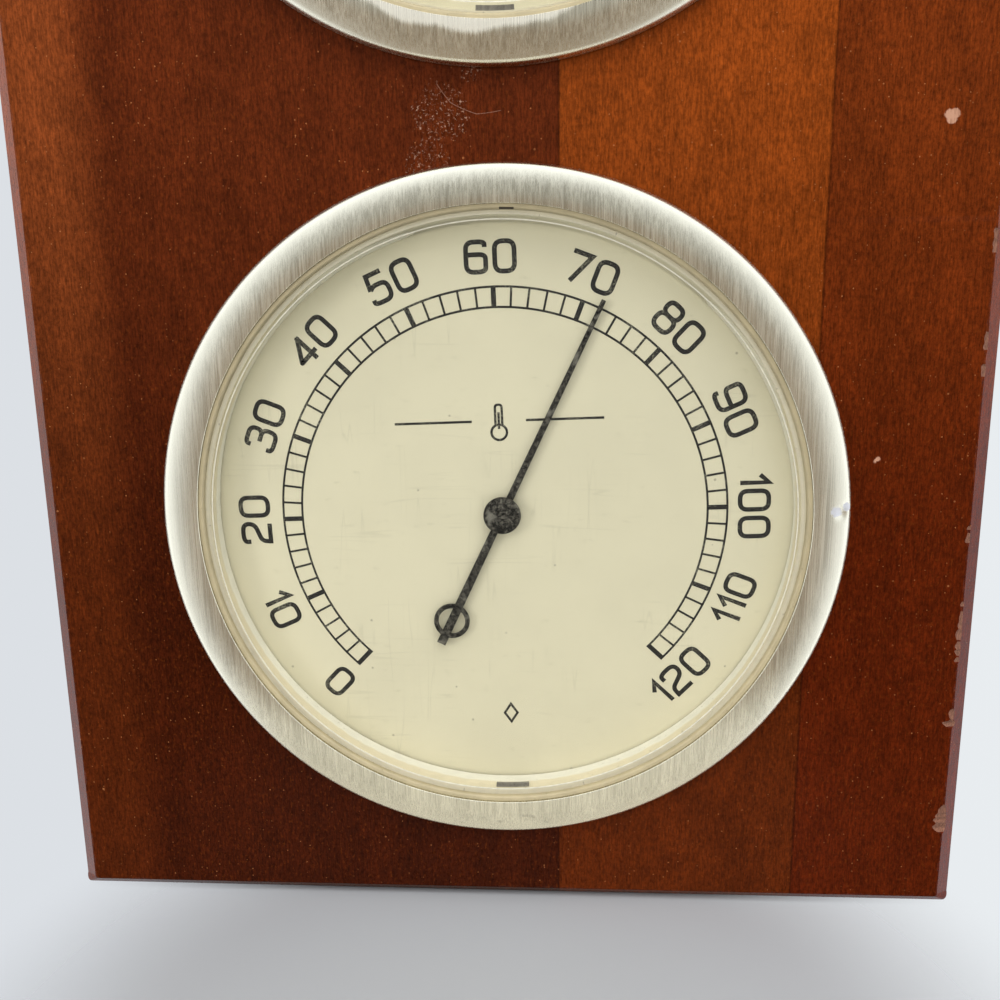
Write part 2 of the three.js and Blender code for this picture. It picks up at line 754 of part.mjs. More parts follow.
function rocker() {
  const half = ROCKER_SHEET / 2;
  const left = PIN_REACH - FINGER_WIDE;
  const right = PIN_REACH + FINGER_WIDE;
  return join(
    rodAlongX(STAFF_RADIUS, -ROCKER_SHAFT_HALF, ROCKER_SHAFT_HALF),
    block(-ROCKER_ARM_HALF, ROCKER_ARM_HALF, 0, ROCKER_ARM_END, -half, half),
    block(left, right, -FINGER_HALF, FINGER_HALF, 0, FINGER_TOP - ROCKER_Z),
  );
}

// The capsule: a corrugated metal box, drawn at its lowest, with a stud below the rocker's arm
const CAPSULE_RADIUS = 14;
const CAPSULE_Y = ROCKER_Y + ROCKER_ARM;
const CAPSULE_BACK = -14.4;
const CAPSULE_FRONT = -11.6;
const CAPSULE_STUD = -10.85;
const CAPSULE_STUD_RADIUS = 1.5;
const CAPSULE_FOOT_RADIUS = 4;
const RIPPLE = 0.6;
const RIPPLE_PITCH = 2.5;

function capsule() {
  const ripples = [1, 2, 3, 4].map((i) => {
    const height = i % 2 ? CAPSULE_FRONT : CAPSULE_FRONT - RIPPLE;
    return [CAPSULE_RADIUS - i * RIPPLE_PITCH, height];
  });
  const profile = [
    [0, PLATE_FRONT + GAP],
    [CAPSULE_FOOT_RADIUS, PLATE_FRONT + GAP],
    [CAPSULE_FOOT_RADIUS, CAPSULE_BACK],
    [CAPSULE_RADIUS, CAPSULE_BACK],
    [CAPSULE_RADIUS, CAPSULE_FRONT - RIPPLE],
    ...ripples,
    [CAPSULE_STUD_RADIUS, CAPSULE_FRONT],
    [CAPSULE_STUD_RADIUS, CAPSULE_STUD],
    [0, CAPSULE_STUD],
  ];
  return turned(profile, MIDDLE);
}

// The base plate, and the bridge that two pillars hold above it. The bridge has ears for the
// rocker's shaft, the sector's stud, a post for the hairspring and a window for the finger.
const BASE = { half: 20, low: -26, high: 36 };
const BRIDGE = { half: 19, low: -4, high: 27 };
const BRIDGE_BACK = -8.6;
const BRIDGE_FRONT = -7.8;
const PILLAR_X = 17;
const PILLAR_Y = 12;
const PILLAR_RADIUS = 1.8;
const TENON_RADIUS = 0.9;
const TENON_FRONT = BRIDGE_FRONT + 0.3;
const EAR_X = 9;
const EAR_HALF = 0.5;
const EAR_REACH = 2;
const EAR_BACK = -11;
const WINDOW_HALF = 1.5;
const POST_HALF = 0.5;
const POST_WIDTH = 0.6;
const BASE_SCREWS = [
  [-15, -8],
  [15, -8],
];
const ADJUSTER_Y = -20;
const ADJUSTER_SHANK = 1.2;
const ADJUSTER_HEAD = 2.2;
const ADJUSTER_CLEARANCE = 0.4;
const ADJUSTER_INSET = 0.2;
const ADJUSTER_END = -12;

function basePlate() {
  const sheet = block(-BASE.half, BASE.half, BASE.low, BASE.high, PLATE_BACK, PLATE_FRONT);
  const through = (radius, x, y) =>
    rod(radius, PLATE_BACK - GAP, PLATE_FRONT + GAP).translate(x, y, 0);
  const screwHoles = BASE_SCREWS.map(([x, y]) => through(SCREW_SHANK + GAP, x, y));
  return cut(sheet, through(ADJUSTER_SHANK + GAP, 0, ADJUSTER_Y), ...screwHoles);
}

function pillar() {
  const under = BRIDGE_BACK - GAP;
  const profile = [
    [0, PLATE_FRONT + GAP],
    [PILLAR_RADIUS, PLATE_FRONT + GAP],
    [PILLAR_RADIUS, under],
    [TENON_RADIUS, under],
    [TENON_RADIUS, TENON_FRONT],
    [0, TENON_FRONT],
  ];
  return turned(profile);
}

const HAIRSPRING = { inner: 1.1, outer: 5.2, turns: 4, ribbon: 0.25, back: -7.4, front: -6.7 };

function bridge() {
  const low = ROCKER_Y - EAR_REACH;
  const high = ROCKER_Y + EAR_REACH;
  const ear = (x) => block(x - EAR_HALF, x + EAR_HALF, low, high, EAR_BACK, BRIDGE_FRONT);
  const post = HAIRSPRING.outer + HAIRSPRING.ribbon / 2 + GAP;
  const body = join(
    block(-BRIDGE.half, BRIDGE.half, BRIDGE.low, BRIDGE.high, BRIDGE_BACK, BRIDGE_FRONT),
    ear(-EAR_X),
    ear(EAR_X),
    rod(STUD_RADIUS, BRIDGE_BACK, GEAR_FRONT + GAP).translate(0, GEAR_CENTRES, 0),
    block(post, post + POST_WIDTH, -POST_HALF, POST_HALF, BRIDGE_BACK, HAIRSPRING.front),
  );
  const left = PIN_REACH - WINDOW_HALF;
  const right = PIN_REACH + WINDOW_HALF;
  const window = block(left, right, low, high, BRIDGE_BACK - GAP, BRIDGE_FRONT + GAP);
  const earHoles = rodAlongX(PIVOT_HOLE, -2 * EAR_X, 2 * EAR_X);
  const through = (radius, x, y) =>
    rod(radius, BRIDGE_BACK - GAP, BRIDGE_FRONT + GAP).translate(x, y, 0);
  return cut(
    body,
    window,
    earHoles.translate(0, ROCKER_Y, ROCKER_Z),
    through(PIVOT_HOLE, 0, 0),
    through(TENON_RADIUS + GAP, -PILLAR_X, PILLAR_Y),
    through(TENON_RADIUS + GAP, PILLAR_X, PILLAR_Y),
  );
}

// The adjusting screw sits flush in the case's floor, where a screwdriver reaches it from behind
function adjustScrew() {
  const top = FLOOR_OUTSIDE + ADJUSTER_INSET;
  const under = FLOOR_INSIDE - ADJUSTER_INSET;
  const profile = [
    [0, top],
    [ADJUSTER_HEAD, top],
    [ADJUSTER_HEAD, under],
    [ADJUSTER_SHANK, under],
    [ADJUSTER_SHANK, ADJUSTER_END],
    [0, ADJUSTER_END],
  ];
  return cut(turned(profile), screwSlot(ADJUSTER_HEAD, top));
}

// The set hand is turned by a knob in front of the lens, and marks an earlier reading
const SET_HAND_BACK = -0.2;
const SET_HAND_FRONT = 0.2;
const SET_HAND_TIP = 31;
const SET_HAND_TAIL = 13;
const SET_HAND_EYE = 2.2;
const SET_HAND_HALF = { tail: 0.35, middle: 0.5, head: 0.9 };
const SET_HAND_HEAD = 7;
const KNOB_RADIUS = 4.6;
const KNOB_FRONT = 8;
const KNOB_RIDGES = 20;
const KNOB_RIDGE = 0.4;
const KNOB_COLLAR = 3.8;
const KNOB_STEP = 0.8;
const KNOB_STEM = 1.3;
const KNOB_TENON = 0.7;

function setHand() {
  const blade = outline([
    [-SET_HAND_HALF.tail, -SET_HAND_TAIL],
    [SET_HAND_HALF.tail, -SET_HAND_TAIL],
    [SET_HAND_HALF.middle, 0],
    [SET_HAND_HALF.head, SET_HAND_TIP - SET_HAND_HEAD],
    [0, SET_HAND_TIP],
    [-SET_HAND_HALF.head, SET_HAND_TIP - SET_HAND_HEAD],
    [-SET_HAND_HALF.middle, 0],
  ]);
  const eye = rod(SET_HAND_EYE, SET_HAND_BACK, SET_HAND_FRONT);
  const whole = join(plate(blade, SET_HAND_BACK, SET_HAND_FRONT), eye);
  const hole = rod(KNOB_TENON + GAP, SET_HAND_BACK - OVERSHOOT, SET_HAND_FRONT + OVERSHOOT);
  return cut(whole, hole);
}

function setKnob() {
  const base = LENS_FRONT + GAP;
  const shoulder = SET_HAND_FRONT + GAP;
  const points = [];
  for (let i = 0; i < 2 * KNOB_RIDGES; i++) {
    const radius = i % 2 ? KNOB_RADIUS : KNOB_RADIUS - KNOB_RIDGE;
    points.push(polar(radius, (Math.PI * i) / KNOB_RIDGES));
  }
  return join(
    rod(KNOB_TENON, SET_HAND_BACK - GAP, base),
    rod(KNOB_STEM, shoulder, base + KNOB_STEP),
    rod(KNOB_COLLAR, base, KNOB_FRONT, MIDDLE),
    plate(outline(points), base + KNOB_STEP, KNOB_FRONT - KNOB_STEP),
  );
}

function barometer(label, centre, scale) {
  const adjusterHole = floorHole(ADJUSTER_HEAD + ADJUSTER_CLEARANCE, 0, ADJUSTER_Y);
  const options = { lensHole: LENS_HOLE, floorTools: [adjusterHole], screws: BASE_SCREWS };
  const group = instrument(label, centre, options);
  const angle = handAngle(scale, scale.shown);

  add(group, `${label}_base_plate`, "steel", basePlate());
  add(group, `${label}_capsule`, "brass", capsule()).position.y = CAPSULE_Y;
  add(group, `${label}_bridge`, "brass", bridge());
  [-PILLAR_X, PILLAR_X].forEach((x, i) => {
    add(group, `${label}_pillar_${i + 1}`, "brass", pillar()).position.set(x, PILLAR_Y, 0);
  });
  add(group, `${label}_hairspring`, "steel", spiral(HAIRSPRING));
  hand(group, label, "hand", "hand_arbor", handArbor(), angle);

  const swing = add(group, `${label}_sector`, "brass", sector());
  swing.position.y = GEAR_CENTRES;
  swing.rotation.z = angle / GEAR_RATIO;

  const rock = add(group, `${label}_rocker`, "steel", rocker());
  rock.position.set(0, ROCKER_Y, ROCKER_Z);
  rock.rotation.x = -angle * ROCKER_RATIO;

  const mark = new THREE.Group();
  mark.rotation.z = -handAngle(scale, SET_HAND_READING);
  add(mark, `${label}_set_hand`, "brass", setHand());
  add(mark, `${label}_set_knob`, "brass", setKnob());
  group.add(mark);

  add(group, `${label}_adjust_screw`, "brass", adjustScrew()).position.y = ADJUSTER_Y;
  return group;
}

// Assembly
const station = new THREE.Group();
station.rotation.x = Math.PI / 2;
station.position.y = BOARD_BACK / 2;

add(station, "board", "wood", board());
add(station, "hanger", "steel", hanger());
[-1, 1].forEach((side, i) => {
  add(station, `hanger_nail_${i + 1}`, "brass", nail()).position.set(side * NAIL_X, NAIL_Y, 0);
  add(station, `bumper_${i + 1}`, "felt", bumper()).position.set(side * BUMPER_X, BUMPER_Y, 0);
});

const thermometer = coilInstrument("thermometer", THERMOMETER_CENTRE, THERMOMETER_SCALE, "bimetal");
thermometer.rotation.z = degToRad(THERMOMETER_TURN);
station.add(thermometer);
station.add(barometer("barometer", BAROMETER_CENTRE, BAROMETER_SCALE));
station.add(coilInstrument("hygrometer", HYGROMETER_CENTRE, HYGROMETER_SCALE, "film"));

export default station;
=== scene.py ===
"""Looks of the weather station: finishes, printed scales, turned rings, and the studio around it."""

import json
import math

import bmesh
import bpy
from mathutils import Matrix, Vector, noise
from mathutils.geometry import tessellate_polygon


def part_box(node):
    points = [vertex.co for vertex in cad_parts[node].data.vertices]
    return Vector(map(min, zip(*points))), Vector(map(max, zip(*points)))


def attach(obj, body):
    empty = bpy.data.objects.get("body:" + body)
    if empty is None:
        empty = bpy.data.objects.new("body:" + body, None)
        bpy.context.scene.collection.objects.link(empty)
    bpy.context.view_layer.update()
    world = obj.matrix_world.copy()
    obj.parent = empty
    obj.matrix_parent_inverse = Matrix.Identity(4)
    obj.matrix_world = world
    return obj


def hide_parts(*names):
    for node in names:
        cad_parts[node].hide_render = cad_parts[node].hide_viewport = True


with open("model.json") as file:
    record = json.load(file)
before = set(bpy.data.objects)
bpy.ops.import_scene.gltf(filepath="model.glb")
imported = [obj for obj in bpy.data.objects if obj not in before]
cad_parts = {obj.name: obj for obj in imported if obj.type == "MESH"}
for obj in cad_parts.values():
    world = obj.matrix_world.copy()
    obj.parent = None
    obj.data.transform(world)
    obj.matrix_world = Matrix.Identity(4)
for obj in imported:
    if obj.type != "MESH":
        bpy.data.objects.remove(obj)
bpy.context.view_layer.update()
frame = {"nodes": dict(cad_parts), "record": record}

MM = 0.001
SCENE = bpy.context.scene

# Board, in millimetres: across it, up it, and out of its front face
board_low, board_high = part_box("board")
BOARD_HALF = board_high.x / MM
BOARD_HEIGHT = board_high.z / MM
BOARD_BACK = -(board_high.y - board_low.y) / MM
FACE_Y = board_low.y / MM
SIDE_BEVEL = 2.5
END_BEVEL = 1.5
CORNER_RADIUS = 1.0
BORE_RADIUS = 46.5
STRIP_JOINTS = (-57.5, 8.4, 44.75)

# Instruments: radii and heights above the board's face
BEZEL_RADIUS = 50.0
BEZEL_CREST = 3.0
BEZEL_FOOT = 0.25
LIP_RADIUS = 44.45
LIP_EASE = 0.06
LENS_FRONT = 2.25
LENS_BACK = 1.2
LENS_HOLE = 1.7
BEAD_RADIUS = 42.8
BEAD_HALF = 1.0
BEAD_HEIGHT = 0.3
GROOVE_RADIUS = 43.6
GROOVE_FLOOR = 1.95
RIM_FRONT = 2.6
SKIRT_INSIDE = 43.1
SKIRT_OUTSIDE = 44.2
FLANGE_RADIUS = 46.8
FLANGE_FRONT = 1.95
FLANGE_BACK = 1.25
DIAL_FRONT = -3.0
DIAL_BACK = -3.8
DIAL_RADIUS = 44.9
DIAL_HOLE = 1.7
SLOT_RADIUS = 43.7
SLOT_LENGTH = 6.0
SLOT_WIDTH = 0.6
POINTER_BACK = -2.3
POINTER_FRONT = -1.9
HUB_RADIUS = 2.8
HUB_FRONT = -0.95
CASE_RADIUS = 46.2
FLOOR_OUTSIDE = -17.5
FLOOR_INSIDE = -16.2

# Print on the dials
SCALE_OUTSIDE = 33.45
SCALE_INSIDE = 30.55
NUMERAL_RADIUS = 37.65
NUMERAL_SHIFT = -0.25
LINE_WIDTH = 0.32
MAJOR_WIDTH = 0.72
NUMERAL_STROKE = 0.68
DIGIT_WIDE = 2.8
DIGIT_HIGH = 4.2
DIGIT_PITCH = 4.12
INK_HEIGHT = 0.03
TICK_HEIGHT = 0.027
ARC_HEIGHT = 0.024
INK_GAP = 0.002
FLIP_ANGLE = 100

OVERCUT = 1.0
ROUND = 256
FINE_ROUND = 720
SMOOTH_ANGLE = 32


# Camera at the photograph's viewing angle
IMAGE_SIDE = 1000
FOCAL_PIXELS = 1046.16
SENSOR = 36.0
CAMERA_PLACE = (8.7245, -158.5624, 99.7591)
CAMERA_YAW = -3.43154
CAMERA_PITCH = -13.0473
CAMERA_ROLL = -0.73795


def add_camera():
    yaw, pitch, roll = (math.radians(a) for a in (CAMERA_YAW, CAMERA_PITCH, CAMERA_ROLL))
    level = math.cos(pitch)
    forward = Vector((math.sin(yaw) * level, math.cos(yaw) * level, math.sin(pitch)))
    right = Vector((math.cos(yaw), -math.sin(yaw), 0))
    up = right.cross(forward)
    rolled_right = right * math.cos(roll) + up * math.sin(roll)
    rolled_up = up * math.cos(roll) - right * math.sin(roll)
    turn = Matrix((rolled_right, rolled_up, -forward)).transposed()
    data = bpy.data.cameras.new("camera")
    data.sensor_width = SENSOR
    data.lens = FOCAL_PIXELS / IMAGE_SIDE * SENSOR
    data.clip_start = 0.01
    camera = bpy.data.objects.new("camera", data)
    camera.matrix_world = Matrix.Translation(Vector(CAMERA_PLACE) * MM) @ turn.to_4x4()
    SCENE.collection.objects.link(camera)
    SCENE.camera = camera


add_camera()


# Node graphs: short calls for the nodes that the finishes share
SPOT_SOFT = 0.25


def tint(red, green, blue):
    """A colour as seen, in steps of 255, as the linear colour that shaders take."""
    def linear(step):
        share = step / 255
        return share / 12.92 if share <= 0.04045 else ((share + 0.055) / 1.055) ** 2.4

    return (linear(red), linear(green), linear(blue), 1.0)


class Graph:
    """A node tree, and short calls for its nodes."""

    def __init__(self, tree):
        self.tree = tree
        self.tree.nodes.clear()

    def node(self, kind, inputs=(), **settings):
        made = self.tree.nodes.new(kind)
        for key, value in settings.items():
            setattr(made, key, value)
        for key, value in dict(inputs).items():
            self.feed(made.inputs[key], value)
        return made

    def feed(self, socket, value):
        if isinstance(value, bpy.types.NodeSocket):
            self.tree.links.new(value, socket)
        else:
            socket.default_value = value

    def place(self):
        """Where a surface point is on its piece, in millimetres."""
        coordinates = self.node("ShaderNodeTexCoord")
        inputs = {0: coordinates.outputs["Object"], "Scale": 1 / MM}
        return self.node("ShaderNodeVectorMath", inputs, operation="SCALE").outputs[0]

    def split(self, vector):
        return self.node("ShaderNodeSeparateXYZ", {0: vector}).outputs

    def stretch(self, vector, x, y, z):
        inputs = {0: vector, 1: (x, y, z)}
        return self.node("ShaderNodeVectorMath", inputs, operation="MULTIPLY").outputs[0]

    def noise(self, vector, scale=1.0, detail=3.0, roughness=0.55):
        inputs = {"Vector": vector, "Scale": scale, "Detail": detail, "Roughness": roughness}
        return self.node("ShaderNodeTexNoise", inputs).outputs[0]

    def math(self, operation, first, second=0.0):
        return self.node("ShaderNodeMath", {0: first, 1: second}, operation=operation).outputs[0]

    def product(self, *factors):
        found = factors[0]
        for factor in factors[1:]:
            found = self.math("MULTIPLY", found, factor)
        return found

    def gap(self, first, second):
        """How far apart two values are."""
        return self.math("ABSOLUTE", self.math("SUBTRACT", first, second))

    def distance(self, vector, point=(0.0, 0.0, 0.0)):
        inputs = {0: vector, 1: point}
        return self.node("ShaderNodeVectorMath", inputs, operation="DISTANCE").outputs["Value"]

    def span(self, value, low, high, to_low=0.0, to_high=1.0):
        """Value carried from low..high to to_low..to_high, smoothly and held at the ends."""
        inputs = {"Value": value, "From Min": low, "From Max": high, "To Min": to_low, "To Max": to_high}
        made = self.node("ShaderNodeMapRange", inputs, interpolation_type="SMOOTHSTEP")
        return made.outputs["Result"]

    def blend(self, share, first, second, kind="MIX"):
        made = self.node("ShaderNodeMix", data_type="RGBA", blend_type=kind)
        self.feed(made.inputs[0], share)
        self.feed(made.inputs[6], first)
        self.feed(made.inputs[7], second)
        return made.outputs[2]

    def shade(self, colour, factor):
        """A colour made lighter or darker by a factor."""
        plain = colour[:3] if isinstance(colour, tuple) else colour
        inputs = {0: plain, "Scale": factor}
        return self.node("ShaderNodeVectorMath", inputs, operation="SCALE").outputs[0]

    def specks(self, vector, cell, size, share):
        """1 inside small round spots, one to a cell of that many millimetres, thinned to a share."""
        spots = self.node("ShaderNodeTexVoronoi", {"Vector": vector, "Scale": 1 / cell})
        near = self.math("LESS_THAN", spots.outputs["Distance"], size / cell)
        chance = self.split(spots.outputs["Color"])[0]
        kept = self.math("LESS_THAN", chance, share)
        return self.product(near, kept)

    def spot(self, vector, centre, radius, ragged):
        """1 inside a ragged round patch about a point."""
        edge = self.product(self.noise(vector, 2.2, 4.0), ragged)
        offset = self.math("ADD", self.distance(vector, centre), edge)
        reach = radius + ragged / 2
        return self.span(offset, reach, reach - SPOT_SOFT)

    def bump(self, height, depth):
        """Relief whose full height is a depth in millimetres."""
        inputs = {"Height": height, "Distance": depth * MM, "Strength": 1.0}
        return self.node("ShaderNodeBump", inputs).outputs[0]

    def surface(self, inputs):
        return self.node("ShaderNodeBsdfPrincipled", inputs).outputs[0]


class Finish(Graph):
    """A material and its node tree."""

    def __init__(self, name):
        self.material = bpy.data.materials.new(name)
        self.material.use_nodes = True
        super().__init__(self.material.node_tree)

    def done(self, shader):
        self.node("ShaderNodeOutputMaterial", {"Surface": shader})
        return self.material

    def painted(self, colour, roughness, normal=None, **others):
        """The material with one surface shader, given its inputs."""
        inputs = {"Base Color": colour, "Roughness": roughness, **others}
        if normal:
            inputs["Normal"] = normal
        return self.done(self.surface(inputs))


# Wood: four stained strips under satin lacquer, with a painted sheen that makes them lighter towards the
# top and deeper in colour towards the foot
WOOD_LOW = ((80, 31, 7), (61, 20, 4), (88, 34, 6), (85, 27, 4))
WOOD_HIGH = ((122, 58, 24), (88, 35, 11), (136, 62, 16), (109, 45, 11))
SHEEN_RISE = (48, 128)
JOINT_WIDTHS = (9.0, 0.3, 0.3)
JOINT_LINE = 0.3
JOINT_TONE = 0.5
BARE_WOOD = (146, 100, 79)
BEVEL_SHEEN = 1.5
FLECK = (150, 74, 24)
SPECK = (184, 116, 70)
DUST = (205, 164, 138)
DUST_PATCHES = ((-7.6, 119.0, 3.8), (-9.6, 112.5, 3.0), (-3.2, 124.5, 1.6))
WORN_WOOD = (206, 156, 128)
WORN_SPOTS = (
    (59.85, 117.45, 0.75),
    (60.6, 117.55, 0.75),
    (60.2, 116.9, 0.8),
    (53.65, 71.15, 0.46),
    (53.3, 70.8, 0.34),
)


def strip_colour(graph, across, colours):
    colour = tint(*colours[0])
    for joint, width, shade in zip(STRIP_JOINTS, JOINT_WIDTHS, colours[1:]):
        past = graph.span(across, joint - width / 2, joint + width / 2)
        colour = graph.blend(past, colour, tint(*shade))
    return colour


def wood_specks(graph, place):
    """Fine specks in the lacquer, gathered in loose groups."""
    groups = graph.span(graph.noise(place, 0.12, 2.0), 0.42, 0.6, 0.25, 0.7)
    fine = graph.specks(place, 0.75, 0.1, 0.24)
    flakes = graph.specks(place, 2.4, 0.16, 0.16)
    return graph.product(graph.math("MAXIMUM", fine, flakes), groups)


def wood_dust(graph, place):
    """Pale crumbs in a few patches."""
    crumbs = graph.span(graph.noise(place, 1.9, 5.0, 0.82), 0.56, 0.63, 0.0, 0.75)
    spread = 0.0
    for x, up, radius in DUST_PATCHES:
        patch = graph.spot(place, (x, FACE_Y, up), radius, 5.0)
        spread = graph.math("MAXIMUM", patch, spread)
    return graph.product(spread, crumbs)


def wood_finish():
    graph = Finish("wood")
    place = graph.place()
    across, _, height = graph.split(place)
    # Painted sheen: each strip goes from its low colour to its lighter high colour up the board, standing
    # in for the lacquer's sheen
    rise = graph.span(height, *SHEEN_RISE)
    low, high = (strip_colour(graph, across, colours) for colours in (WOOD_LOW, WOOD_HIGH))
    colour = graph.blend(rise, low, high)
    bands = graph.noise(graph.stretch(place, 0.1, 0.1, 0.025))
    clouds = graph.noise(graph.stretch(place, 0.35, 0.35, 0.2), detail=4.0)
    mottle = graph.noise(graph.stretch(place, 1.9, 1.9, 1.2), detail=5.0, roughness=0.75)
    fibres = graph.noise(graph.stretch(place, 4.6, 4.6, 0.6), detail=4.0)
    factor = graph.span(bands, 0.3, 0.7, 0.9, 1.1)
    for layer, low, high in ((clouds, 0.86, 1.14), (mottle, 0.62, 1.38), (fibres, 0.68, 1.34)):
        factor = graph.product(factor, graph.span(layer, 0.25, 0.75, low, high))
    # Painted sheen: the side bevels are lifted to a lighter colour, standing in for the gloss they catch
    # at a slant
    edge = graph.math("ABSOLUTE", across)
    arris = BOARD_HALF - SIDE_BEVEL
    factor = graph.product(factor, graph.span(edge, arris, arris + 0.3, 1.0, BEVEL_SHEEN))
    for joint in STRIP_JOINTS[1:]:
        gap = graph.gap(across, joint)
        factor = graph.product(factor, graph.span(gap, 0.0, JOINT_LINE, JOINT_TONE, 1.0))
    colour = graph.shade(colour, factor)
    flecks = graph.noise(graph.stretch(place, 2.4, 2.4, 1.5), detail=4.0)
    colour = graph.blend(graph.span(flecks, 0.55, 0.72, 0.0, 0.2), colour, tint(*FLECK))
    colour = graph.blend(wood_specks(graph, place), colour, tint(*SPECK))
    colour = graph.blend(wood_dust(graph, place), colour, tint(*DUST))
    for x, up, radius in WORN_SPOTS:
        worn = graph.spot(place, (x, FACE_Y, up), radius, 0.5)
        worn = graph.product(worn, graph.span(fibres, 0.3, 0.6, 0.65, 1.0))
        colour = graph.blend(worn, colour, tint(*WORN_WOOD))
    relief = graph.math("ADD", fibres, graph.product(mottle, 0.6))
    roughness = graph.span(mottle, 0.3, 0.7, 0.24, 0.34)
    return graph.painted(colour, roughness, graph.bump(relief, 0.01), IOR=1.14)


def bare_wood_finish():
    graph = Finish("bare_wood")
    place = graph.place()
    fibres = graph.noise(graph.stretch(place, 5.0, 5.0, 1.2), detail=4.0)
    colour = graph.shade(tint(*BARE_WOOD), graph.span(fibres, 0.25, 0.75, 0.55, 1.15))
    return graph.painted(colour, 0.8, graph.bump(fibres, 0.1))


# Bezel: pale champagne metal, brushed straight up and down
BEZEL_METAL = (224, 219, 199)
NICK_METAL = (240, 240, 242)
NICKS = ((47.5, 64.1, 1.05), (49.1, 64.7, 0.75))
NICK_OUT = 2.2
SHOULDER_HIGHLIGHT = 1.08


# Painted glare: a white reflection painted on the second bezel's lower lip, its middle across, half
# width, reach, share and centre
GLARE_WHITE = (238, 234, 220)
GLARE_MIDDLE = -4.0
GLARE_HALF = 24.0
GLARE_REACH = 2.1
GLARE_SHARE = 0.72
glare_low, glare_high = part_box("barometer_bezel")
GLARE_CENTRE = (glare_low.z + glare_high.z) / 2 / MM


def bezel_glare(graph, place, strokes):
    """1 inside the ragged patch of painted glare at the lip of the middle instrument."""
    across, _, height = graph.split(place)
    radius = graph.distance(graph.stretch(place, 1.0, 0.0, 1.0), (0.0, 0.0, GLARE_CENTRE))
    drift = graph.noise(graph.stretch(place, 0.11, 0.11, 0.02), detail=2.0)
    drift = graph.span(drift, 0.3, 0.7, -0.8, 0.8)
    ragged = graph.math("ADD", drift, graph.span(strokes, 0.3, 0.7, -0.1, 0.1))
    offset = graph.gap(across, GLARE_MIDDLE)
    taper = graph.span(offset, 0.0, GLARE_HALF, GLARE_REACH, -1.2)
    edge = graph.math("SUBTRACT", radius, graph.math("ADD", taper, ragged))
    inside = graph.span(edge, LIP_RADIUS + 0.45, LIP_RADIUS - 0.45)
    return graph.product(inside, graph.math("LESS_THAN", height, GLARE_CENTRE))


# Dull smear low on the first bezel: where it runs across, its height, its wander and its half width
SMEAR_FROM = -10.5
SMEAR_TO = 8.0
SMEAR_UP = 15.0
SMEAR_WANDER = 0.9
SMEAR_HALF = 0.55


def bezel_smear(graph, place):
    """1 along a broken, wandering streak."""
    across, _, height = graph.split(place)
    wave = graph.noise(graph.stretch(place, 0.22, 0.22, 0.05), detail=2.0)
    middle = graph.span(wave, 0.3, 0.7, SMEAR_UP - SMEAR_WANDER, SMEAR_UP + SMEAR_WANDER)
    gap = graph.gap(height, middle)
    streak = graph.span(gap, SMEAR_HALF, 0.0)
    for end, inside in ((SMEAR_FROM, SMEAR_FROM + 2), (SMEAR_TO, SMEAR_TO - 2)):
        streak = graph.product(streak, graph.span(across, end, inside))
    return graph.product(streak, graph.span(graph.noise(place, 0.5, 3.0), 0.38, 0.6))


def out_of_face(graph, place):
    """How far a point stands out of the board's front face."""
    return graph.math("SUBTRACT", FACE_Y, graph.split(place)[1])


def bezel_finish():
    graph = Finish("bezel")
    place = graph.place()
    broad = graph.noise(graph.stretch(place, 1.1, 1.1, 0.03), detail=2.0)
    strokes = graph.noise(graph.stretch(place, 5.5, 5.5, 0.06), detail=4.0, roughness=0.7)
    cloud = graph.noise(place, 0.12, 3.0)
    scuffs = graph.noise(graph.stretch(place, 0.5, 0.5, 0.35), detail=5.0, roughness=0.7)
    factor = graph.span(strokes, 0.28, 0.72, 0.82, 1.14)
    for layer, low, high in ((broad, 0.92, 1.06), (cloud, 0.95, 1.04)):
        factor = graph.product(factor, graph.span(layer, 0.28, 0.72, low, high))
    smear = graph.span(bezel_smear(graph, place), 0.0, 1.0, 1.0, 0.74)
    factor = graph.product(factor, graph.span(scuffs, 0.6, 0.75, 1.0, 0.85), smear)
    # The rolled shoulder is polished smooth, without strokes or relief, and its colour is lifted as a
    # painted highlight
    face = graph.span(out_of_face(graph, place), BEZEL_CREST - 0.75, BEZEL_CREST - 0.1)
    brushed = graph.product(graph.math("SUBTRACT", factor, SHOULDER_HIGHLIGHT), face)
    colour = graph.shade(tint(*BEZEL_METAL), graph.math("ADD", brushed, SHOULDER_HIGHLIGHT))
    roughness = graph.span(strokes, 0.3, 0.7, 0.23, 0.31)
    for x, up, radius in NICKS:
        nick = graph.spot(place, (x, FACE_Y - NICK_OUT, up), radius, 0.9)
        colour = graph.blend(nick, colour, tint(*NICK_METAL))
        roughness = graph.math("ADD", roughness, graph.product(nick, 0.3))
    # Painted glare: a white, non-metal reflection painted on the middle bezel's lip
    glare = graph.product(bezel_glare(graph, place, strokes), GLARE_SHARE)
    colour = graph.blend(glare, colour, tint(*GLARE_WHITE))
    relief = graph.product(graph.math("ADD", strokes, broad), face)
    tangent = graph.node("ShaderNodeTangent", direction_type="UV_MAP", uv_map="brush").outputs[0]
    return graph.painted(
        colour,
        roughness,
        graph.bump(relief, 0.002),
        Metallic=graph.math("SUBTRACT", 1.0, glare),
        Anisotropic=0.8,
        Tangent=tangent,
    )


# Lens: a clear moulding, a little yellowed at its bead
WINDOW_TINT = (0.99, 0.986, 0.968, 1.0)
BEAD_TINT = (0.985, 0.976, 0.945, 1.0)


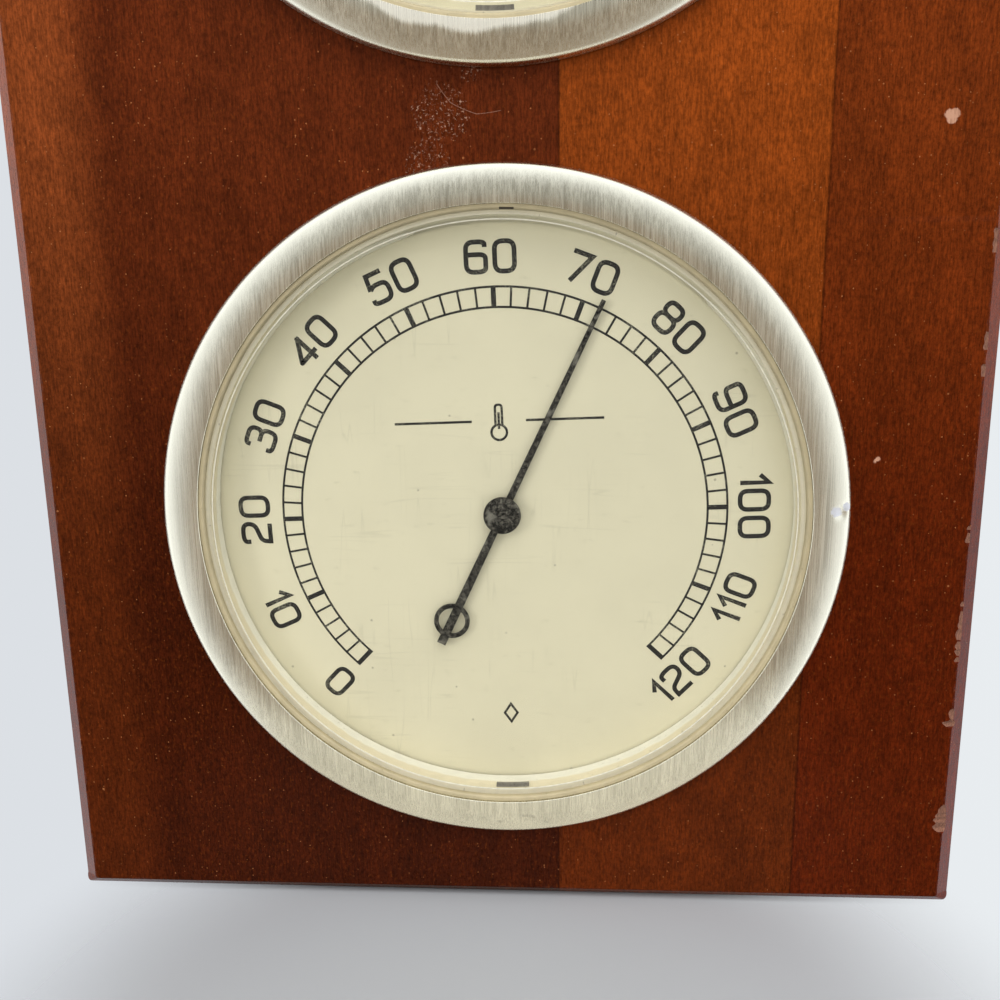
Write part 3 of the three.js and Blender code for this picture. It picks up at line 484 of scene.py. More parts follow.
def lens_finish(name, colour, index):
    """Slightly hazy glass that lets the light of the lamps straight through."""
    graph = Finish(name)
    haze = graph.noise(graph.place(), 0.4, 4.0)
    inputs = {"Color": colour, "Roughness": graph.span(haze, 0.3, 0.7, 0.0, 0.04), "IOR": index}
    glass = graph.node("ShaderNodeBsdfGlass", inputs).outputs[0]
    clear = graph.node("ShaderNodeBsdfTransparent", {"Color": colour}).outputs[0]
    lamp = graph.node("ShaderNodeLightPath").outputs["Is Shadow Ray"]
    mixed = graph.node("ShaderNodeMixShader", {0: lamp, 1: glass, 2: clear})
    return graph.done(mixed.outputs[0])


# Opaque parts of the lens: colours, and the depth at which the painted light on the wall (white, next to
# the dial) turns to painted shade (cream, towards the front)
RIM_TAN = (192, 178, 142)
RIM_GRIT = (120, 104, 76)
WALL_LIT_WHITE = (238, 236, 224)
WALL_SHADED_CREAM = (228, 219, 193)
WALL_GRIT = (128, 116, 92)
WALL_SHADE_EDGE = -0.9
BEAD_HIGHLIGHT_WHITE = (234, 229, 209)


def rim_finish():
    graph = Finish("lens_rim")
    place = graph.place()
    stain = graph.noise(place, 0.35, 4.0)
    grit = graph.specks(place, 0.9, 0.14, 0.3)
    colour = graph.shade(tint(*RIM_TAN), graph.span(stain, 0.25, 0.75, 0.9, 1.08))
    colour = graph.blend(graph.product(grit, 0.3), colour, tint(*RIM_GRIT))
    return graph.painted(colour, 0.3, IOR=1.45)


def bead_highlight_finish():
    """A painted highlight: a white line on the slope of the bead, standing in for the light the bead
    catches.
    """
    graph = Finish("lens_painted_highlight")
    place = graph.place()
    unevenness = graph.noise(place, 1.2, 4.0, 0.65)
    colour = graph.shade(tint(*BEAD_HIGHLIGHT_WHITE), graph.span(unevenness, 0.3, 0.7, 0.82, 1.02))
    return graph.painted(colour, 0.3, IOR=1.45)


def wall_finish():
    """Painted light: white next to the dial; painted shade: creamier towards the front; and a little
    dirt.
    """
    graph = Finish("lens_wall")
    place = graph.place()
    stain = graph.noise(place, 0.6, 4.0)
    edge = graph.math("ADD", out_of_face(graph, place), graph.span(stain, 0.3, 0.7, -0.15, 0.15))
    forward = graph.span(edge, WALL_SHADE_EDGE - 0.3, WALL_SHADE_EDGE + 0.3)
    # Painted light next to the dial, painted shade towards the front
    colour = graph.blend(forward, tint(*WALL_LIT_WHITE), tint(*WALL_SHADED_CREAM))
    colour = graph.shade(colour, graph.span(stain, 0.25, 0.75, 0.95, 1.03))
    grit = graph.specks(place, 0.8, 0.12, 0.25)
    colour = graph.blend(graph.product(grit, 0.4), colour, tint(*WALL_GRIT))
    return graph.painted(colour, 0.35, IOR=1.4)


# Dial: cream paint, with faint smudges and specks, and worn black print
CREAM = (217, 211, 185)
SMUDGE = (172, 166, 140)
HAIRLINE = (160, 155, 132)
DIAL_SPECK = (120, 114, 94)
INK = (34, 33, 31)
INK_WORN = (150, 147, 130)


def dial_finish():
    graph = Finish("dial")
    place = graph.place()
    cloud = graph.noise(place, 0.06, 4.0)
    smudge = graph.noise(graph.stretch(place, 0.5, 0.5, 1.2), detail=5.0, roughness=0.6)
    colour = graph.shade(tint(*CREAM), graph.span(cloud, 0.3, 0.7, 0.97, 1.03))
    worn = graph.span(smudge, 0.6, 0.76, 0.0, 0.22)
    colour = graph.blend(worn, colour, tint(*SMUDGE))
    where = graph.span(graph.noise(place, 0.09, 2.0), 0.5, 0.62)
    for across, up in ((0.016, 0.5), (0.45, 0.02)):
        wave = graph.noise(graph.stretch(place, across, across, up), detail=1.0)
        line = graph.gap(wave, 0.5)
        hair = graph.product(graph.span(line, 0.0, 0.012, 0.16, 0.0), where)
        colour = graph.blend(hair, colour, tint(*HAIRLINE))
    specks = graph.specks(place, 2.6, 0.2, 0.12)
    colour = graph.blend(graph.product(specks, 0.45), colour, tint(*DIAL_SPECK))
    roughness = graph.span(cloud, 0.3, 0.7, 0.5, 0.6)
    return graph.painted(colour, roughness, graph.bump(smudge, 0.004), IOR=1.4)


def ink_finish():
    graph = Finish("ink")
    place = graph.place()
    unevenness = graph.noise(place, 3.2, 4.0, 0.65)
    patches = graph.noise(place, 0.25, 2.0)
    level = graph.math("ADD", unevenness, graph.span(patches, 0.35, 0.75, -0.06, 0.1))
    colour = graph.blend(graph.span(level, 0.5, 0.76, 0.0, 0.7), tint(*INK), tint(*INK_WORN))
    return graph.painted(colour, 0.55, IOR=1.35)


# Hands: black paint worn through to grey
BLACK = (17, 16, 13)
BLACK_WORN = (126, 122, 112)
BLACK_RUBBED = (142, 139, 129)
WEAR_SHARE = 0.7


def black_finish():
    graph = Finish("black")
    place = graph.place()
    unevenness = graph.noise(place, 1.7, 5.0, 0.7)
    scuffs = graph.noise(graph.stretch(place, 5.0, 5.0, 5.0), detail=3.0)
    level = graph.math("ADD", graph.product(unevenness, WEAR_SHARE), graph.product(scuffs, 1 - WEAR_SHARE))
    colour = graph.blend(graph.span(level, 0.44, 0.68, 0.0, 0.8), tint(*BLACK), tint(*BLACK_WORN))
    patches = graph.span(graph.noise(place, 0.42, 3.0), 0.56, 0.68, 0.0, 0.5)
    colour = graph.blend(patches, colour, tint(*BLACK_RUBBED))
    roughness = graph.span(level, 0.4, 0.7, 0.42, 0.62)
    return graph.painted(colour, roughness, graph.bump(level, 0.03), IOR=1.22)


# Plain metals: a tone that drifts, with fine scratches along the piece
def metal_finish(name, colour, low_rough, high_rough, grain):
    graph = Finish(name)
    place = graph.place()
    cloud = graph.noise(place, 0.5, 4.0)
    scratches = graph.noise(graph.stretch(place, *grain), detail=3.0)
    factor = graph.span(cloud, 0.25, 0.75, 0.82, 1.1)
    factor = graph.product(factor, graph.span(scratches, 0.25, 0.75, 0.9, 1.06))
    shaded = graph.shade(tint(*colour), factor)
    roughness = graph.span(scratches, 0.3, 0.7, low_rough, high_rough)
    return graph.painted(shaded, roughness, graph.bump(scratches, 0.006), Metallic=1.0)


# Mouldings: dark plastic with a fine grain, under a thin film of dust
MOULDING = (46, 43, 40)
MOULDING_DUST = (124, 117, 106)


def moulding_finish():
    graph = Finish("moulding")
    place = graph.place()
    grain = graph.noise(place, 2.5, 4.0, 0.65)
    film = graph.noise(place, 0.07, 5.0, 0.6)
    specks = graph.specks(place, 3.0, 0.25, 0.2)
    settled = graph.span(film, 0.48, 0.72, 0.0, 0.24)
    dust = graph.math("MAXIMUM", settled, graph.product(specks, 0.4))
    colour = graph.shade(tint(*MOULDING), graph.span(grain, 0.25, 0.75, 0.8, 1.2))
    colour = graph.blend(dust, colour, tint(*MOULDING_DUST))
    return graph.painted(colour, graph.span(film, 0.35, 0.7, 0.42, 0.62), graph.bump(grain, 0.02))


# Rubber, coated strip, felt, and the painted shade in slots: matt, with a grain of their own
def matt_finish(name, colour, roughness, grain, depth, contrast=0.2):
    graph = Finish(name)
    place = graph.place()
    cloud = graph.noise(place, 0.2, 4.0)
    texture = graph.noise(place, grain, 4.0, 0.65)
    factor = graph.span(cloud, 0.3, 0.7, 1 - contrast / 2, 1 + contrast / 2)
    factor = graph.product(factor, graph.span(texture, 0.25, 0.75, 1 - contrast, 1 + contrast))
    shaded = graph.shade(tint(*colour), factor)
    rough = graph.span(texture, 0.3, 0.7, roughness - 0.06, roughness + 0.06)
    return graph.painted(shaded, rough, graph.bump(texture, depth))


FINISHES = {
    "wood": wood_finish(),
    "bezel": bezel_finish(),
    "lens": lens_finish("lens", WINDOW_TINT, 1.18),
    "dial": dial_finish(),
    "black": black_finish(),
    "moulding": moulding_finish(),
    "rubber": matt_finish("rubber", (30, 29, 28), 0.85, 4.0, 0.03),
    "brass": metal_finish("brass", (190, 156, 92), 0.24, 0.4, (5.0, 5.0, 0.5)),
    "steel": metal_finish("steel", (192, 194, 196), 0.24, 0.42, (0.6, 6.0, 6.0)),
    "bimetal": metal_finish("bimetal", (164, 128, 82), 0.3, 0.45, (0.5, 6.0, 0.5)),
    "film": matt_finish("film", (206, 188, 152), 0.65, 3.0, 0.01),
    "felt": matt_finish("felt", (52, 64, 53), 0.95, 3.5, 0.25, 0.4),
}
BARE_WOOD_FINISH = bare_wood_finish()
RIM_FINISH = rim_finish()
WALL_FINISH = wall_finish()
BEAD_HIGHLIGHT_FINISH = bead_highlight_finish()
BEAD_FINISH = lens_finish("lens_bead", BEAD_TINT, 1.45)
INK_FINISH = ink_finish()
SLOT_BAR_SHADE_FINISH = matt_finish("tab", (120, 117, 111), 0.5, 3.0, 0.02, 0.35)
SLOT_SHADE_FINISH = matt_finish("painted_slot_shade", (52, 46, 34), 0.8, 3.0, 0.02)


def dress_frame_nodes():
    """Gives every solid of the frame the finish of its material slot."""
    for row in frame["record"]["subparts"]:
        node = frame["nodes"][row["node"]]
        for holder in node.material_slots:
            holder.material = FINISHES[row["material_slot"]]


dress_frame_nodes()


# Shapes: points and faces gathered for one mesh
def board_place(x, up, out):
    """World place, in metres, of a point across the board, up it and out of its front face."""
    return Vector((x * MM, board_low.y - out * MM, up * MM))


def polar(radius, clockwise):
    angle = math.radians(clockwise)
    return (radius * math.sin(angle), radius * math.cos(angle))


def circle(radius, steps, x=0.0, y=0.0):
    turns = [polar(radius, 360 * i / steps) for i in range(steps)]
    return [(x + a, y + b) for a, b in turns]


def curve(start, control, end, steps):
    """Points of a quadratic curve from start towards end, with end itself left out."""
    found = []
    for i in range(steps):
        t = i / steps
        weights = ((1 - t) ** 2, 2 * t * (1 - t), t**2)
        pulls = list(zip(weights, (start, control, end)))
        found.append(tuple(sum(weight * point[k] for weight, point in pulls) for k in (0, 1)))
    return found


class Shape:
    def __init__(self, place):
        self.place = place
        self.points = []
        self.faces = []
        self.slots = []

    def add(self, points):
        start = len(self.points)
        self.points += [self.place(*point) for point in points]
        return list(range(start, len(self.points)))

    def face(self, corners, slot=0):
        self.faces.append(corners)
        self.slots.append(slot)

    def bridge(self, first, second, slot=0):
        """Faces between two rings with equally many points, or from a ring to a single point.

        The slot is one number, or a list with one for each point of the rings.
        """
        count = max(len(first), len(second))
        for i in range(count):
            j = (i + 1) % count
            turns = ((first, i), (first, j), (second, j), (second, i))
            corners = [ring[k % len(ring)] for ring, k in turns]
            self.face(list(dict.fromkeys(corners)), slot[i] if isinstance(slot, list) else slot)

    def turned(self, profile, steps=ROUND, slots=None):
        """A profile of (radius, out) points turned about the centre, closed unless it meets the axis."""
        rings = []
        for radius, out in profile:
            points = circle(radius, steps if radius else 1)
            rings.append(self.add([(x, y, out) for x, y in points]))
        if profile[0][0]:
            rings.append(rings[0])
        for i, (first, second) in enumerate(zip(rings, rings[1:])):
            self.bridge(first, second, slots[i] if slots else 0)

    def cap(self, loops, rings, slot=0):
        """Fills between an outline and its holes, given their flat points and their point numbers."""
        flat = [[Vector((x, y, 0)) for x, y in loop] for loop in loops]
        numbers = [number for ring in rings for number in ring]
        for corners in tessellate_polygon(flat):
            self.face([numbers[c] for c in corners], slot)

    def plate(self, loops, back, front, slot=0):
        """A flat piece with an outline and holes, between two heights."""
        lower = [self.add([(x, y, back) for x, y in loop]) for loop in loops]
        upper = [self.add([(x, y, front) for x, y in loop]) for loop in loops]
        self.cap(loops, lower, slot)
        self.cap(loops, upper, slot)
        for first, second in zip(lower, upper):
            self.bridge(first, second, slot)

    def ribbon(self, edges, back, front, closed=False):
        """A raised stroke between its left and right edges, with its ends shut unless it runs round."""
        sections = []
        for (x, y), (far_x, far_y) in zip(*edges):
            section = [(x, y, back), (x, y, front), (far_x, far_y, front), (far_x, far_y, back)]
            sections.append(self.add(section))
        for first, second in zip(sections, sections[1:]):
            self.bridge(first, second)
        if closed:
            self.bridge(sections[-1], sections[0])
        else:
            self.face(sections[0])
            self.face(sections[-1])

    def mesh(self, name, sharp=SMOOTH_ANGLE):
        mesh = bpy.data.meshes.new(name)
        mesh.from_pydata(self.points, [], self.faces)
        mesh.polygons.foreach_set("material_index", self.slots)
        shape = bmesh.new()
        shape.from_mesh(mesh)
        bmesh.ops.recalc_face_normals(shape, faces=shape.faces)
        shape.to_mesh(mesh)
        shape.free()
        smooth(mesh, sharp)
        return mesh


def smooth(mesh, sharp=SMOOTH_ANGLE):
    mesh.polygons.foreach_set("use_smooth", [True] * len(mesh.polygons))
    mesh.set_sharp_from_angle(angle=math.radians(sharp))


def oblong(half, width, y=0.0):
    """Corners of a level strip, given its half length, its width and the height of its middle."""
    low = y - width / 2
    high = y + width / 2
    return [(-half, low), (half, low), (half, high), (-half, high)]


def add_piece(mesh, body, slot, nodes=(), materials=None):
    """A mesh as a piece of the part, in the finish of its slot unless other materials are given."""
    piece = bpy.data.objects.new(mesh.name, mesh)
    SCENE.collection.objects.link(piece)
    for material in materials or [FINISHES[slot]]:
        mesh.materials.append(material)
    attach(piece, body)
    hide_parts(*nodes)
    return piece


def round_edges(piece, width, segments=2):
    bevel = piece.modifiers.new("edges", "BEVEL")
    bevel.width = width * MM
    bevel.segments = segments
    bevel.limit_method = "ANGLE"
    bevel.angle_limit = math.radians(SMOOTH_ANGLE)


def cutter(place, outline, back, front, finish):
    """A block to cut with, and the finish that the cut faces take from it."""
    shape = Shape(place)
    shape.plate([outline], back, front)
    tool = bpy.data.objects.new("cutter", shape.mesh("cutter"))
    tool.data.materials.append(finish)
    SCENE.collection.objects.link(tool)
    return tool


def cut_away(piece, tools):
    """Takes the tools' shapes out of a piece, with the tools' own finish on the cut faces."""
    for tool in tools:
        cut = piece.modifiers.new("cut", "BOOLEAN")
        cut.object = tool
        cut.operation = "DIFFERENCE"
        cut.solver = "EXACT"
        cut.material_mode = "TRANSFER"
    bpy.context.view_layer.update()
    evaluated = piece.evaluated_get(bpy.context.evaluated_depsgraph_get())
    mesh = bpy.data.meshes.new_from_object(evaluated)
    piece.modifiers.clear()
    piece.data = mesh
    smooth(mesh)
    for tool in tools:
        bpy.data.objects.remove(tool)


# Board: bevelled slab with ragged front arrises, three bores, two nail holes and old chips
EDGE_STEP = 1.6
FINE_STEP = 0.25
FINE_REACH = 130
ARRIS_RAGGED = 0.12
ARRIS_EASE = 0.1
ARRIS_CORNER = 0.4
BEVEL_CORNER = 0.5
BACK_EASE = 0.5
FLAT_ANGLE = 15
NAIL_X = 18.5
NAIL_Y = BOARD_HEIGHT - 8
NAIL_HOLE = 0.95
NAIL_DEPTH = 9.0

# Chips out of the right-hand arris: height of the middle, half length, and reach into the face
CHIPS = (
    (13.8, 1.3, 1.45),
    (15.9, 1.4, 0.85),
    (30.6, 0.6, 1.15),
    (32.2, 0.9, 0.55),
    (41.5, 1.1, 0.85),
    (44.0, 1.8, 0.5),
    (47.5, 2.6, 0.3),
    (60.0, 1.5, 0.35),
    (83.5, 1.0, 0.45),
    (88.0, 2.4, 0.3),
    (101.0, 2.0, 0.4),
    (112.0, 1.4, 0.35),
)
BARE_FROM = 0.16
CHIP_DROP = 0.6


def side_fractions(index):
    """Where points stand along a side: closer together low on the right, where the chips are."""
    length = BOARD_HEIGHT if index % 2 == 0 else 2 * BOARD_HALF
    fine = []
    if index == 0:
        fine = [i * FINE_STEP / length for i in range(1, round(FINE_REACH / FINE_STEP))]
    start = fine[-1] if fine else 0
    count = round(length * (1 - start) / EDGE_STEP)
    return fine + [start + (1 - start) * i / count for i in range(1, count)]


def slab_outline(inset_side, inset_end, radius):
    """Outline of the board's face, up the right side first, with equally many points for any inset."""
    half = BOARD_HALF - inset_side
    low = inset_end
    high = BOARD_HEIGHT - inset_end
    corners = ((half, low), (half, high), (-half, high), (-half, low))
    middle = BOARD_HEIGHT / 2
    found = []
    for index, (x, y) in enumerate(corners):
        centre_x = x - math.copysign(radius, x)
        centre_y = y - math.copysign(radius, y - middle)
        for step in range(7):
            a, b = polar(radius, 180 - 90 * index - 15 * step)
            found.append((centre_x + a, centre_y + b))
        next_x, next_y = corners[(index + 1) % 4]
        length = abs(next_x - x) + abs(next_y - y)
        along = Vector((next_x - x, next_y - y)) * (1 - 2 * radius / length)
        last = Vector(found[-1])
        found += [tuple(last + along * fraction) for fraction in side_fractions(index)]
    return found


def bevel_depth(x, y):
    """How far back the bevel reaches at a point of the outline: more on the sides than the ends."""
    share = min(1.0, min(y, BOARD_HEIGHT - y) / CORNER_RADIUS)
    return END_BEVEL + (SIDE_BEVEL - END_BEVEL) * share


def inward(x, y, reach):
    """A point of the outline moved towards the middle of the board."""
    toward = Vector((x / BOARD_HALF, 2 * y / BOARD_HEIGHT - 1))
    toward = Vector((math.copysign(1, x), 0)) if abs(toward.x) > 0.95 else toward.normalized()
    return (x - toward.x * reach, y - toward.y * reach)


def raggedness(x, y):
    wander = noise.noise(Vector((x * 0.21, y * 0.37, 3.0)))
    nibble = max(0.0, noise.noise(Vector((x * 0.9, y * 0.9, 8.0))))
    return ARRIS_RAGGED * (wander + 1.6 * nibble)


def chip_reach(x, y):
    """How far a chip eats into the face at a point of the outline."""
    reach = 0.0
    for middle, half, deep in CHIPS:
        along = abs(y - middle) / half
        if x > 0.9 * BOARD_HALF and along < 1:
            torn = 0.85 + 0.7 * noise.noise(Vector((middle, y * 1.25, 0.5)))
            reach = max(reach, deep * torn * (1 - along**6))
    return reach


def board_mesh(centres):
    shape = Shape(board_place)
    arris = slab_outline(SIDE_BEVEL + ARRIS_EASE, END_BEVEL + ARRIS_EASE, ARRIS_CORNER)
    bevel = slab_outline(SIDE_BEVEL - ARRIS_EASE, END_BEVEL - ARRIS_EASE, BEVEL_CORNER)
    edge = slab_outline(0, 0, CORNER_RADIUS)
    back = slab_outline(BACK_EASE, BACK_EASE, CORNER_RADIUS)
    bites = [chip_reach(x, y) for x, y in arris]
    face = [inward(x, y, bite + raggedness(x, y)) for (x, y), bite in zip(arris, bites)]
    torn = []
    lower = []
    for (x, y), (bevel_x, bevel_y), bite in zip(arris, bevel, bites):
        rough = 0.5 + 0.5 * noise.noise(Vector((x, y * 2.3, 4.0)))
        torn.append((*inward(x, y, 0.55 * bite), -0.5 * ARRIS_EASE - 0.3 * bite * rough))
        drop = min(0.5 * bite, CHIP_DROP)
        lower.append((*inward(bevel_x, bevel_y, -drop), -ARRIS_EASE - drop))
    rings = [
        shape.add([(x, y, 0) for x, y in face]),
        shape.add(torn),
        shape.add(lower),
        shape.add([(x, y, -bevel_depth(x, y)) for x, y in edge]),
        shape.add([(x, y, BOARD_BACK + BACK_EASE) for x, y in edge]),
        shape.add([(x, y, BOARD_BACK) for x, y in back]),
    ]
    bare = [int(bite > BARE_FROM) for bite in bites]
    for index, (first, second) in enumerate(zip(rings, rings[1:])):
        shape.bridge(first, second, bare if index < 2 else 0)
    bores = [circle(BORE_RADIUS, ROUND, 0, centre) for centre in centres]
    front_bores = [shape.add([(x, y, 0) for x, y in bore]) for bore in bores]
    back_bores = [shape.add([(x, y, BOARD_BACK) for x, y in bore]) for bore in bores]
    for first, second in zip(front_bores, back_bores):
        shape.bridge(first, second)
    holes = [circle(NAIL_HOLE, 16, side * NAIL_X, NAIL_Y) for side in (-1, 1)]
    mouths = [shape.add([(x, y, BOARD_BACK) for x, y in hole]) for hole in holes]
    for hole, mouth in zip(holes, mouths):
        bottom = shape.add([(x, y, BOARD_BACK + NAIL_DEPTH) for x, y in hole])
        shape.bridge(mouth, bottom)
        shape.face(bottom)
    shape.cap([face] + bores, [rings[0]] + front_bores)
    shape.cap([back] + bores + holes, [rings[-1]] + back_bores + mouths)
    return shape.mesh("board_wood", FLAT_ANGLE)


def add_board(centres):
    materials = [FINISHES["wood"], BARE_WOOD_FINISH]
    add_piece(board_mesh(centres), "root", "wood", ["board"], materials)


# Instruments: the three dials, each with its scale and reading
class Dial:
    """An instrument: its hand, how far its print leans to the left, its scale and its reading.

    The scale is the value at the top and the degrees to each unit.
    """

    def __init__(self, name, hand, turn, scale, reading):
        low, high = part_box(name + "_bezel")
        self.name = name
        self.body = f"{name}_{hand}"
        self.turn = turn
        self.top, self.degrees = scale
        self.reading = reading
        self.centre = (low.z + high.z) / 2 / MM

    def angle(self, value):
        """Degrees clockwise from the top of the dial at which a value stands."""
        return (value - self.top) * self.degrees

    def turned_place(self, clockwise):
        """A place function for points about the centre, turned clockwise in the dial's own frame."""
        angle = math.radians(clockwise - self.turn)

        def place(x, y, out):
            across = x * math.cos(angle) + y * math.sin(angle)
            up = y * math.cos(angle) - x * math.sin(angle)
            return board_place(across, self.centre + up, out)

        return place

    def place(self, x, y, out):
        return self.turned_place(0)(x, y, out)


THERMOMETER = Dial("thermometer", "pointer", 1.7, (60, 2.25), 72)
BAROMETER = Dial("barometer", "hand", 0, (29.5, 90), 29.9)
HYGROMETER = Dial("hygrometer", "pointer", 0, (50, 2.7), 45)
DIALS = (THERMOMETER, BAROMETER, HYGROMETER)
SET_READING = 29.7


# Bezels: spun rings with a rolled shoulder, measured in from their radius and down from their crest
ROLL_FOOT = 0.9
ROLL_DOWN = 0.85
SHOULDER_IN = 0.85
SHOULDER_DOWN = 0.58
DOME_IN = 2.7
CROWN_WIDTH = 0.3
FOOT_IN = 0.8
HOLLOW_IN = 1.6
HOLLOW_OUT = 2.0

# Knocks: instrument, radius, degrees clockwise from the top, size and depth
KNOCKS = (
    (THERMOMETER, 48.4, 90.1, 1.1, 0.26),
    (THERMOMETER, 49.2, 88.6, 0.6, 0.16),
    (BAROMETER, 48.9, -132.0, 0.9, 0.12),
    (HYGROMETER, 47.6, 41.0, 0.7, 0.1),
)


def bezel_profile():
    """A foot, a tight roll at the rim, a slightly domed face and a crisp lip."""
    rim = (BEZEL_RADIUS, ROLL_FOOT)
    shoulder = (BEZEL_RADIUS - SHOULDER_IN, BEZEL_CREST - SHOULDER_DOWN)
    crown = (LIP_RADIUS + CROWN_WIDTH, BEZEL_CREST)
    profile = [(BEZEL_RADIUS - FOOT_IN, BEZEL_FOOT), (BEZEL_RADIUS, BEZEL_FOOT)]
    profile += curve(rim, (BEZEL_RADIUS, BEZEL_CREST - ROLL_DOWN), shoulder, 10)
    profile += curve(shoulder, (BEZEL_RADIUS - DOME_IN, BEZEL_CREST), crown, 16)
    profile += [crown, (LIP_RADIUS + LIP_EASE, BEZEL_CREST), (LIP_RADIUS, BEZEL_CREST - LIP_EASE)]
    profile += [(LIP_RADIUS, LENS_FRONT), (BEZEL_RADIUS - HOLLOW_IN, HOLLOW_OUT)]
    return profile


def knock(mesh, dial, radius, clockwise, size, depth):
    x, y = polar(radius, clockwise)
    centre = dial.place(x, y, BEZEL_CREST - 0.5)
    for vert in mesh.vertices:
        gap = (vert.co - centre).length / MM
        if gap < size:
            rough = 0.75 + 0.5 * noise.noise(vert.co / MM * 1.7)
            vert.co.y += depth * MM * rough * (1 - (gap / size) ** 2)


def brush_map(mesh):
    """A flat map whose first axis runs across the board, at right angles to the brushing."""
    layer = mesh.uv_layers.new(name="brush")
    for loop in mesh.loops:
        point = mesh.vertices[loop.vertex_index].co
        layer.data[loop.index].uv = (point.x, point.z)


def add_bezel(dial):
    shape = Shape(dial.place)
    shape.turned(bezel_profile(), FINE_ROUND)
    mesh = shape.mesh(dial.name + "_bezel_ring")
    for owner, *place in KNOCKS:
        if owner is dial:
            knock(mesh, dial, *place)
    brush_map(mesh)
    add_piece(mesh, "root", "bezel", [dial.name + "_bezel"])


# Lenses: a clear face with a rounded bead, a tan rim under the lip and a pale skirt down to the dial
WINDOW, RIM, WALL, BEAD, BEAD_HIGHLIGHT = range(5)
LENS_FINISHES = [FINISHES["lens"], RIM_FINISH, WALL_FINISH, BEAD_FINISH, BEAD_HIGHLIGHT_FINISH]
RIM_SWELL = 0.4
LIP_GAP = 0.03
SKIRT_LAP = 0.15
SKIRT_GAP = 0.25
SKIRT_JOIN = 0.01


def lens_profile(hole):
    """The clear face and its rim, and the finish of each stretch between two points."""
    bead_start = (BEAD_RADIUS - BEAD_HALF, LENS_FRONT)
    bead_top = (BEAD_RADIUS, LENS_FRONT + BEAD_HEIGHT)
    groove = (GROOVE_RADIUS, GROOVE_FLOOR)
    rim_top = (GROOVE_RADIUS + RIM_SWELL, RIM_FRONT)
    rim_edge = LIP_RADIUS - LIP_GAP
    skirt = SKIRT_INSIDE - SKIRT_LAP
    rise = curve(bead_start, (BEAD_RADIUS - 0.5, bead_top[1]), bead_top, 6)
    fall = curve(bead_top, (BEAD_RADIUS + 0.55, bead_top[1]), groove, 6)
    swell = curve(groove, (GROOVE_RADIUS + 0.08, RIM_FRONT - 0.05), rim_top, 5)
    back = [
        rim_top,
        (rim_edge, RIM_FRONT),
        (rim_edge, FLANGE_FRONT),
        (FLANGE_RADIUS, FLANGE_FRONT),
        (FLANGE_RADIUS, FLANGE_BACK),
        (GROOVE_RADIUS + 0.1, FLANGE_BACK),
        (skirt, FLANGE_BACK),
        (skirt, LENS_BACK),
        (hole, LENS_BACK),
    ]
    # One stretch of the bead's rising slope carries the painted highlight
    face = [WINDOW] + [BEAD, BEAD, BEAD, BEAD_HIGHLIGHT, BEAD, BEAD] + [BEAD] * len(fall)
    rim = [RIM] * (len(swell) + 5) + [WALL] + [RIM, WINDOW, WINDOW]
    return [(hole, LENS_FRONT)] + rise + fall + swell + back, face + rim


def skirt_profile():
    front = FLANGE_BACK - SKIRT_JOIN
    back = DIAL_FRONT + SKIRT_GAP
    inside = [(SKIRT_INSIDE, back), (SKIRT_INSIDE, front)]
    outside = [(SKIRT_OUTSIDE, front), (SKIRT_OUTSIDE, back)]
    return inside + outside, [WALL, RIM, RIM, WALL]


def add_lens(dial, hole):
    shape = Shape(dial.place)
    for points, slots in (lens_profile(hole), skirt_profile()):
        shape.turned(points, ROUND, slots)
    mesh = shape.mesh(dial.name + "_lens_clear")
    add_piece(mesh, "root", "lens", [dial.name + "_lens"], LENS_FINISHES)


# Painted slot shade: a dark bar low on the lens wall, and a dark dash in the rim at the top, standing in
# for the shade in the dial's slots seen through the lens
BAR_TURN = 180
BAR_HALF = 3.4
BAR_BAND = (SKIRT_INSIDE - 0.62, SKIRT_INSIDE + 0.1)
BAR_DEPTH = (0.2, 0.6)
DASH_TURN = 3.4
DASH_HALF = 1.3
DASH_BAND = (GROOVE_RADIUS + 0.05, GROOVE_RADIUS + 0.35)
DASH_DEPTH = (RIM_FRONT - 0.3, RIM_FRONT + 0.02)


def arc_outline(clockwise, half, inside, outside):
    """Outline of a short band about the centre, a half angle to each side of its middle."""
    turns = [clockwise - half + half * i / 6 for i in range(13)]
    return [polar(inside, turn) for turn in turns] + [polar(outside, turn) for turn in turns[::-1]]


def add_slot_shades(dial):
    shape = Shape(dial.place)
    # Dark sheets put where the slots' shade shows, not parts of the lens
    shape.plate([arc_outline(BAR_TURN, BAR_HALF, *BAR_BAND)], *BAR_DEPTH, 0)
    shape.plate([arc_outline(DASH_TURN, DASH_HALF, *DASH_BAND)], *DASH_DEPTH, 1)
    mesh = shape.mesh(dial.name + "_tabs")
    add_piece(mesh, "root", "moulding", materials=[SLOT_BAR_SHADE_FINISH, SLOT_SHADE_FINISH])


# Dials: a disc with a middle hole and two locating slots
def add_dial_plate(dial):
    shape = Shape(dial.place)
    slots = [oblong(SLOT_LENGTH / 2, SLOT_WIDTH, side * SLOT_RADIUS) for side in (1, -1)]
    shape.plate([circle(DIAL_RADIUS, ROUND), circle(DIAL_HOLE, 32), *slots], DIAL_BACK, DIAL_FRONT)
    mesh = shape.mesh(dial.name + "_dial_plate")
    add_piece(mesh, "root", "dial", [dial.name + "_dial"])


